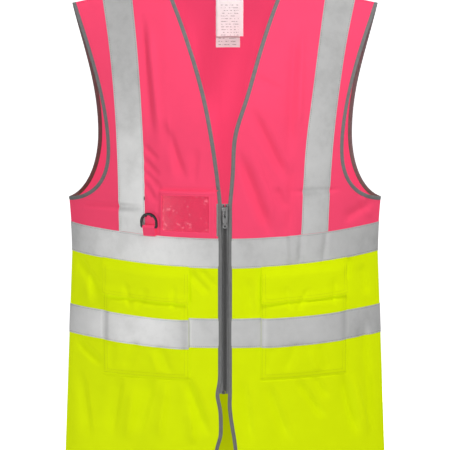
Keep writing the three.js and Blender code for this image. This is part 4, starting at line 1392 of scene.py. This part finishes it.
def make_ring():
    across, out, up = ring_frame()
    half, bar, thick = 15.7 * MM, 4.5 * MM, 3.2 * MM
    radius = half - bar / 2
    arch = 26 * MM - 2 * MM - half
    leg = np.linspace(-0.2 * MM, arch, 6)
    angle = np.linspace(0, math.pi, 40)
    path = [(radius, z) for z in leg[:-1]]
    path += [(radius * math.cos(a), arch + radius * math.sin(a)) for a in angle]
    path += [(-radius, z) for z in leg[-2::-1]]
    path = np.array(path)
    along = unit(np.gradient(path, axis=0))
    points = ring_origin + path[:, :1] * across + path[:, 1:] * up
    sides = along[:, 1:] * across - along[:, :1] * up
    outs = np.repeat(out[None], len(path), 0)
    section = np.repeat(oval(bar, thick)[None], len(path), 0)
    for end in (0, -1):
        section[end] *= 0.72
    ring = sweep("hanging_ring", points, sides, outs, section, MATERIALS["black_plastic"])
    attach(ring, "d_ring")
    axle = np.linspace(-radius, radius, 12)
    added = [sweep("ring_bar", ring_origin + axle[:, None] * across, [up] * 12, [out] * 12,
                   oval(3.4 * MM, 3.4 * MM, power=1.0), MATERIALS["black_plastic"])]
    inner, nub = radius - bar / 2, 1.5 * MM
    for hand, name in ((-1, "near"), (1, "far")):
        at = math.radians(90 + hand * 26)
        way = np.array([math.cos(at), math.sin(at)])
        spots = [np.array([0, arch]) + way * (inner - nub * k) for k in (0, 0.6, 1)]
        added.append(sweep("ring_nub_" + name, [ring_origin + p[0] * across + p[1] * up for p in spots],
                           [np.cross(out, across * way[0] + up * way[1])] * 3, [out] * 3,
                           np.stack([oval(3 * MM * k, 2.4 * MM * k) for k in (1.15, 0.9, 0.4)]),
                           MATERIALS["black_plastic"]))
    for piece in added:
        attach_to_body(piece, "ring")
    make_loop(across, out, up)


def make_loop(across, out, up):
    """A strip folded round the ring's bar, its two ends together under the upper hoop."""
    radius, thick, width = 2.6 * MM, 0.9 * MM, 21.4 * MM
    tail = ring_origin[2] + UPPER_DROP - 1.5 * MM
    front = [(radius * math.cos(a) * 0.95, radius * math.sin(a)) for a in np.linspace(0, math.pi, 16)]
    down = np.linspace(0, 1, 10)[1:]
    profile = [(0.35 * MM + (radius - 0.35 * MM) * (1 - k) ** 1.5 - 1.3 * MM * k, -tail * k)
               for k in down[::-1]]
    profile += front
    profile += [(-radius * 0.95 - 0.15 * MM * k, -tail * k) for k in down]
    profile = np.array(profile)
    along = unit(np.gradient(profile, axis=0))
    turn = np.stack([along[:, 1], -along[:, 0]], -1)
    s = np.linspace(-0.5, 0.5, 14) * width
    layers = []
    for offset in (thick / 2, -thick / 2):
        p = (profile + turn * offset)[:, None]
        layers.append(ring_origin + p[..., :1] * out + p[..., 1:] * up + s[None, :, None] * across)
    loop = sheet("ring_loop_cloth", *layers, material=MATERIALS["pink_cloth"])
    declare(attach(loop, "d_ring_loop"))
    rows = []
    for x in (-width / 2 + 2 * MM, width / 2 - 2 * MM):
        spots = np.array([ring_origin + (radius * 0.5 - 1.0 * MM * k) * out - tail * k * up + x * across
                          for k in np.linspace(0.35, 1, 12)])
        rows.append((spots, np.repeat(out[None], len(spots), 0)))
    stitches("ring_loop_stitches", rows, "d_ring_loop", "pink", radius=0.17 * MM)


# The zip

zip_down = unit(np.array(JOINTS["zip_slider_travel"]["axis"]))
zip_out = np.cross(np.array([1.0, 0, 0]), -zip_down)
zip_out = zip_out if zip_out[1] < 0 else -zip_out
stop_low, stop_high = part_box("left_zip_top_stop")
zip_origin = np.array([0, (stop_low.y + stop_high.y) / 2, ZIP_TOP])
ZIP_LENGTH = (ZIP_TOP - ZIP_BOTTOM) / -zip_down[2]
TOOTH_PITCH = 1.6 * MM
PULLER_PIVOT = np.array(JOINTS["zip_puller_swing"]["pos_m"])


def zip_place(parts):
    """Solids in the zip's own frame, (x, out, up) from its top, moved into the row frame."""
    return in_frame(parts, zip_origin, [1, 0, 0], zip_out, -zip_down)


def zip_piece(name, node, parts, material="zip_plastic"):
    attach(merged(name, zip_place(parts), MATERIALS[material]), node)


def rounded_block(centre, size, power=0.35, rings=5, count=12):
    """A soft-cornered block: a stack of rounded sections along its x."""
    cx, cy, cz = centre
    sx, sy, sz = size
    section = oval(sy, sz, count, power)
    vertices = []
    for k in range(rings):
        u = math.cos(math.pi * (1 - k / (rings - 1)))
        scale = max(0.35, (1 - abs(u) ** 5) ** 0.4) if 0 < k < rings - 1 else 0.55
        x = cx + u * sx / 2
        vertices += [(x, cy + a * scale, cz + b * scale) for a, b in section]
    return vertices, tube_faces(rings, count)


def make_zip_tape(name, hand):
    columns = np.array([0, 0.6, 1.6, 3, 5, 8, 13.2]) * MM
    rows = np.linspace(1.5 * MM, -ZIP_LENGTH + 0.3 * MM, 90)
    x, up = np.meshgrid(hand * (0.7 * MM + columns), rows)
    out = -1.7 * MM + 0.35 * MM * bump(np.abs(x) - 3.4 * MM, 0.8 * MM)
    faces = [zip_origin + x[..., None] * np.array([1, 0, 0]) + (out + d)[..., None] * zip_out
             - up[..., None] * zip_down for d in (0.25 * MM, -0.25 * MM)]
    tape = sheet(name + "_zip_tape_cloth", *faces, material=MATERIALS["zip_tape"])
    declare(attach(tape, name + "_zip_tape"))


def make_teeth(name, hand):
    """One side of the zip: a close row of moulded elements that reach between the other side's."""
    top, bottom = -3.4 * MM, -ZIP_LENGTH + 5.4 * MM
    parts = []
    at = top - (0 if hand == RIGHT else TOOTH_PITCH / 2)
    while at > bottom:
        parts.append(rounded_block((hand * 1.0 * MM, 0, at), (3.8 * MM, 2.3 * MM, 0.84 * MM), 0.6))
        at -= TOOTH_PITCH
    cord_length = top - bottom
    for out in (0.95 * MM, -0.95 * MM):
        centre = (hand * 2.7 * MM, out, (top + bottom) / 2)
        parts.append(rounded_block(centre, (1.0 * MM, 0.7 * MM, cord_length), 0.5))
    zip_piece(name + "_zip_teeth", name + "_zip_coil", parts)
    stop = rounded_block((hand * 1.9 * MM, 0, -1.4 * MM), (2.3 * MM, 2.8 * MM, 2.5 * MM), 0.5)
    zip_piece(name + "_top_stop", name + "_zip_top_stop", [stop])


def slider_outline(half, top, bottom):
    edge = [(0.60, 0), (0.68, 0.12), (0.78, 0.35), (0.92, 0.6), (1, 0.75), (0.97, 0.88),
            (0.84, 0.97), (0.6, 1)]
    rim = [(-0.60, 0), *edge, *[(-x, y) for x, y in edge[:0:-1]]]
    return [(x * half, bottom + (top - bottom) * y) for x, y in rim]


def ellipse(cx, cz, rx, rz, count=24):
    return [(cx + rx * math.cos(a), cz + rz * math.sin(a)) for a in np.arange(count) * 2 * math.pi / count]


def make_slider():
    slider_low, slider_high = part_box("zip_slider")
    top = (slider_high.z - ZIP_TOP) / -zip_down[2] - 0.3 * MM
    bottom = (slider_low.z - ZIP_TOP) / -zip_down[2] + 0.3 * MM
    middle = (top + bottom) / 2
    front = outline_solid([slider_outline(4.7 * MM, top, bottom)], 1.55 * MM, 2.85 * MM, 0.4 * MM)
    rear = outline_solid([slider_outline(4.2 * MM, top, bottom)], -3.9 * MM, -2.8 * MM, 0.35 * MM)
    post = rounded_block((0, -0.5 * MM, top - 2.4 * MM), (1.2 * MM, 5.4 * MM, 3.4 * MM), 0.5)
    flanges = [rounded_block((hand * 4.1 * MM, 1.0 * MM, middle - 0.5 * MM), (0.9 * MM, 1.6 * MM, 6.2 * MM), 0.5)
               for hand in (-1, 1)]
    pivot_out = float((PULLER_PIVOT - zip_origin) @ zip_out)
    reach = 2.6 * MM
    angle = np.linspace(0, math.pi, 14)
    path = np.array([(0, 2.5 * MM + (pivot_out + 1.3 * MM - 2.5 * MM) * math.sin(a) ** 0.7,
                      middle + reach * math.cos(a)) for a in angle])
    along = unit(np.gradient(path, axis=0))
    section = oval(1.5 * MM, 0.9 * MM, 10)
    vertices = []
    for point, way in zip(path, along):
        normal = np.array([0, way[2], -way[1]])
        vertices += [point + np.array([a, 0, 0]) + normal * b for a, b in section]
    bail = (vertices, tube_faces(len(path), len(section)))
    zip_piece("zip_slider_body", "zip_slider", [front, rear, post, *flanges, bail], "zip_metal")


def make_puller():
    puller_low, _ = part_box("zip_puller")
    length = PULLER_PIVOT[2] - puller_low.z - 0.2 * MM
    half, neck, end = 3.6 * MM, 2.3 * MM, 4.0 * MM
    waist = -length + 2 * end + 1.2 * MM
    centre = -length + end
    rim = [(-1.6 * MM, 0.6 * MM), (-half * 0.85, 0.1 * MM), (-half, -1.6 * MM), (-half, waist + 3.2 * MM),
           (-half * 0.92, waist + 1.5 * MM), (-neck, waist)]
    angles = np.linspace(math.radians(128), math.radians(412), 26)
    rim += [(end * math.cos(a), centre + end * math.sin(a)) for a in angles]
    rim += [(-x, z) for x, z in rim[5::-1]]
    eye = [(-1.25 * MM, -0.7 * MM), (1.25 * MM, -0.7 * MM), (1.25 * MM, -5 * MM), (-1.25 * MM, -5 * MM)]
    slot = ellipse(0, -10 * MM, 1.5 * MM, 3.3 * MM)
    hole = ellipse(0, centre, 1.5 * MM, 1.5 * MM)
    plate = outline_solid([rim, eye, slot, hole], -0.6 * MM, 0.6 * MM, 0.28 * MM)
    parts = in_frame([plate], PULLER_PIVOT, [1, 0, 0], zip_out, -zip_down)
    piece = merged("zip_pull_tab", parts, MATERIALS["zip_metal"])
    attach(piece, "zip_puller")


def make_zip():
    for name, hand in HANDS.items():
        make_zip_tape(name, hand)
        make_teeth(name, hand)
    foot = -ZIP_LENGTH
    box = rounded_block((-2.35 * MM, 0.2 * MM, foot + 2.5 * MM), (5.2 * MM, 3.4 * MM, 4.8 * MM), 0.4, 7, 16)
    zip_piece("zip_box", "zip_retainer_box", [box])
    pin = rounded_block((1.75 * MM, 0, foot + 5.5 * MM), (1.6 * MM, 2.2 * MM, 10.8 * MM), 0.6)
    zip_piece("zip_pin", "zip_insertion_pin", [pin])
    make_slider()
    make_puller()


# Labels, seams and small marks

def make_label(node, curl, material):
    """A label hangs from its sewn top edge, its lower corners curling a little away from the back."""
    corner_low, corner_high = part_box(node)
    s, t = np.meshgrid(np.linspace(0, 1, 22), np.linspace(0, 1, 30))
    x = corner_low.x + (corner_high.x - corner_low.x) * s
    z = corner_high.z + (corner_low.z - corner_high.z) * t
    y = (corner_low.y + corner_high.y) / 2 - curl * t ** 2 * (0.4 + 0.6 * (2 * s - 1) ** 2)
    y = y + 0.25 * MM * np.sin(9 * s + 4 * t) * t
    half = 0.2 * MM
    grids = [np.stack([x, y + d, z], -1) for d in (-half, half)]
    label = sheet(node + "_cloth", *grids, material=material)
    declare(attach(label, node))


def make_side_seams():
    """The seam allowance inside each side seam, built where it lies at rest."""
    colours_meet = float(colour_line(BACK, 0))
    for name, hand in HANDS.items():
        for part, top, bottom, slot in (("upper", -UNDERARM_DROP - 3 * MM, colours_meet, "pink_cloth"),
                                        ("lower", colours_meet, -LENGTH + 2 * MM, "yellow_cloth")):
            rows = np.linspace(top, bottom, steps(abs(top - bottom), 6 * MM))
            z, a = np.meshgrid(rows, np.linspace(-1, 1, 13), indexing="ij")
            deep = 6.5 * MM * (1 - np.abs(a) ** 1.5) + 0.7 * MM
            faces = [np.stack([hand * (half_width(z) - deep - d), a * 0.75 * MM, z], -1)
                     for d in (0, 0.4 * MM)]
            seam = sheet(f"{name}_side_seam_{part}", *faces, material=MATERIALS[slot])
            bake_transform(seam)
            declare(seam)


def make_shoulder_stitches():
    for name, hand in HANDS.items():
        x = hand * np.linspace(NECK_HALF + 6 * MM, SHOULDER_HALF - 8 * MM, 60)
        z = shoulder_height(x)
        for side, node in ((BACK, "back_upper_panel"), (FRONT, name + "_front_upper_panel")):
            label = "back" if side == BACK else "front"
            path = line_on(side, x, z - 3 * MM, PANEL)
            stitches(f"{name}_{label}_shoulder_stitches", [path], node, "pink")


def make_bar_tack():
    """A short dense tack that holds the brace's edge above the ring."""
    z = np.linspace(-349.5, -355.5, 8) * MM
    paths = [line_on(FRONT, x, z, TAPE_OUT) for x in -132.5 * MM + np.linspace(-0.7, 0.7, 5) * MM]
    stitches("brace_bar_tack", paths, "d_ring_loop", "dark", 1.1 * MM, 1.2 * MM)


make_panels()
make_tapes()
make_bindings()
for hand_name, hand_sign in HANDS.items():
    make_pocket(hand_name, hand_sign)
    make_flap(hand_name, hand_sign)
make_card_pocket()
make_ring()
make_zip()
make_label("size_neck_label", 2.0 * MM, SIZE_LABEL)
make_label("main_neck_label", 3.0 * MM, MATERIALS["label_cloth"])
make_side_seams()
make_shoulder_stitches()
make_bar_tack()

# The studio

TARGET = Vector((0, 0, -0.411))
CAMERA_ELEVATION = math.radians(8)
CAMERA_DISTANCE = 3.0


def make_camera():
    data = bpy.data.cameras.new("camera")
    data.sensor_width = 36
    data.lens = 140.12
    camera = bpy.data.objects.new("camera", data)
    back = Vector((0, -math.cos(CAMERA_ELEVATION), math.sin(CAMERA_ELEVATION)))
    camera.location = TARGET + back * CAMERA_DISTANCE
    camera.rotation_mode = "QUATERNION"
    camera.rotation_quaternion = (-back).to_track_quat("-Z", "Y")
    bpy.context.scene.collection.objects.link(camera)
    bpy.context.scene.camera = camera


def make_light(name, location, size, power, diffuse=True, glossy=True):
    data = bpy.data.lights.new(name, "AREA")
    data.shape = "RECTANGLE"
    data.size, data.size_y = size
    data.energy = power
    light = bpy.data.objects.new(name, data)
    light.location = location
    light.visible_diffuse = diffuse
    light.visible_glossy = glossy
    light.rotation_mode = "QUATERNION"
    light.rotation_quaternion = (TARGET - Vector(location)).to_track_quat("-Z", "Y")
    bpy.context.scene.collection.objects.link(light)


def make_backdrop():
    """A pale floor below the hanging vest that curves up into a wall all round."""
    floor_z, radius, height, bend = -LENGTH - 0.55, 6.0, 5.0, 1.5
    profile = [(0.001, floor_z), (1.5, floor_z), (3, floor_z), (radius - bend, floor_z)]
    profile += [(radius - bend + bend * math.sin(a), floor_z + bend - bend * math.cos(a))
                for a in np.linspace(0.1, math.pi / 2, 10)]
    profile += [(radius, floor_z + height)]
    turns = 64
    vertices = [(r * math.cos(a), r * math.sin(a), z) for r, z in profile
                for a in np.arange(turns) * 2 * math.pi / turns]
    *faces, _ = tube_faces(len(profile), turns)
    faces[-1] = tuple(range(turns))
    mesh = bpy.data.meshes.new("backdrop")
    mesh.from_pydata(vertices, [], faces)
    mesh.polygons.foreach_set("use_smooth", [True] * len(mesh.polygons))
    mesh.materials.append(Paint("studio_white").finish({
        "Base Color": (0.8, 0.8, 0.8, 1),
        "Roughness": 0.9,
        "Emission Color": (1, 1, 1, 1),
        "Emission Strength": 1.0,
    }))
    backdrop = bpy.data.objects.new("backdrop", mesh)
    bpy.context.scene.collection.objects.link(backdrop)
    backdrop.visible_diffuse = False
    backdrop.visible_glossy = False


def make_world():
    world = bpy.data.worlds.new("studio")
    bpy.context.scene.world = world
    world.use_nodes = True
    nodes = Nodes(world.node_tree)
    coordinates = nodes.add("ShaderNodeTexCoord").outputs["Generated"]
    height = nodes.add("ShaderNodeSeparateXYZ", {"Vector": coordinates}).outputs["Z"]
    sky = nodes.ramp(nodes.scaled(height, 0.5, 0.5), (0.1, (1, 1, 1)), (0.5, (0.75, 0.75, 0.75)),
                     (0.9, (0.4, 0.4, 0.4)))
    nodes.put(nodes.tree.nodes["Background"], {"Color": sky, "Strength": 0.38})


make_camera()
make_backdrop()
make_world()
make_light("key", (-1.5, -1.45, -0.95), (0.8, 0.8), 12)
make_light("shine", (-1.4, -1.6, -1.1), (1.6, 1.6), 14, diffuse=False)
make_light("top", (0.5, -1.0, 1.1), (0.4, 0.4), 22, glossy=False)
make_light("fill", (2.0, -2.2, -0.7), (2.2, 2.2), 18)
make_light("back_fill", (1.2, 2.8, -0.2), (2.0, 2.0), 44)
bpy.context.scene.view_settings.view_transform = "Standard"
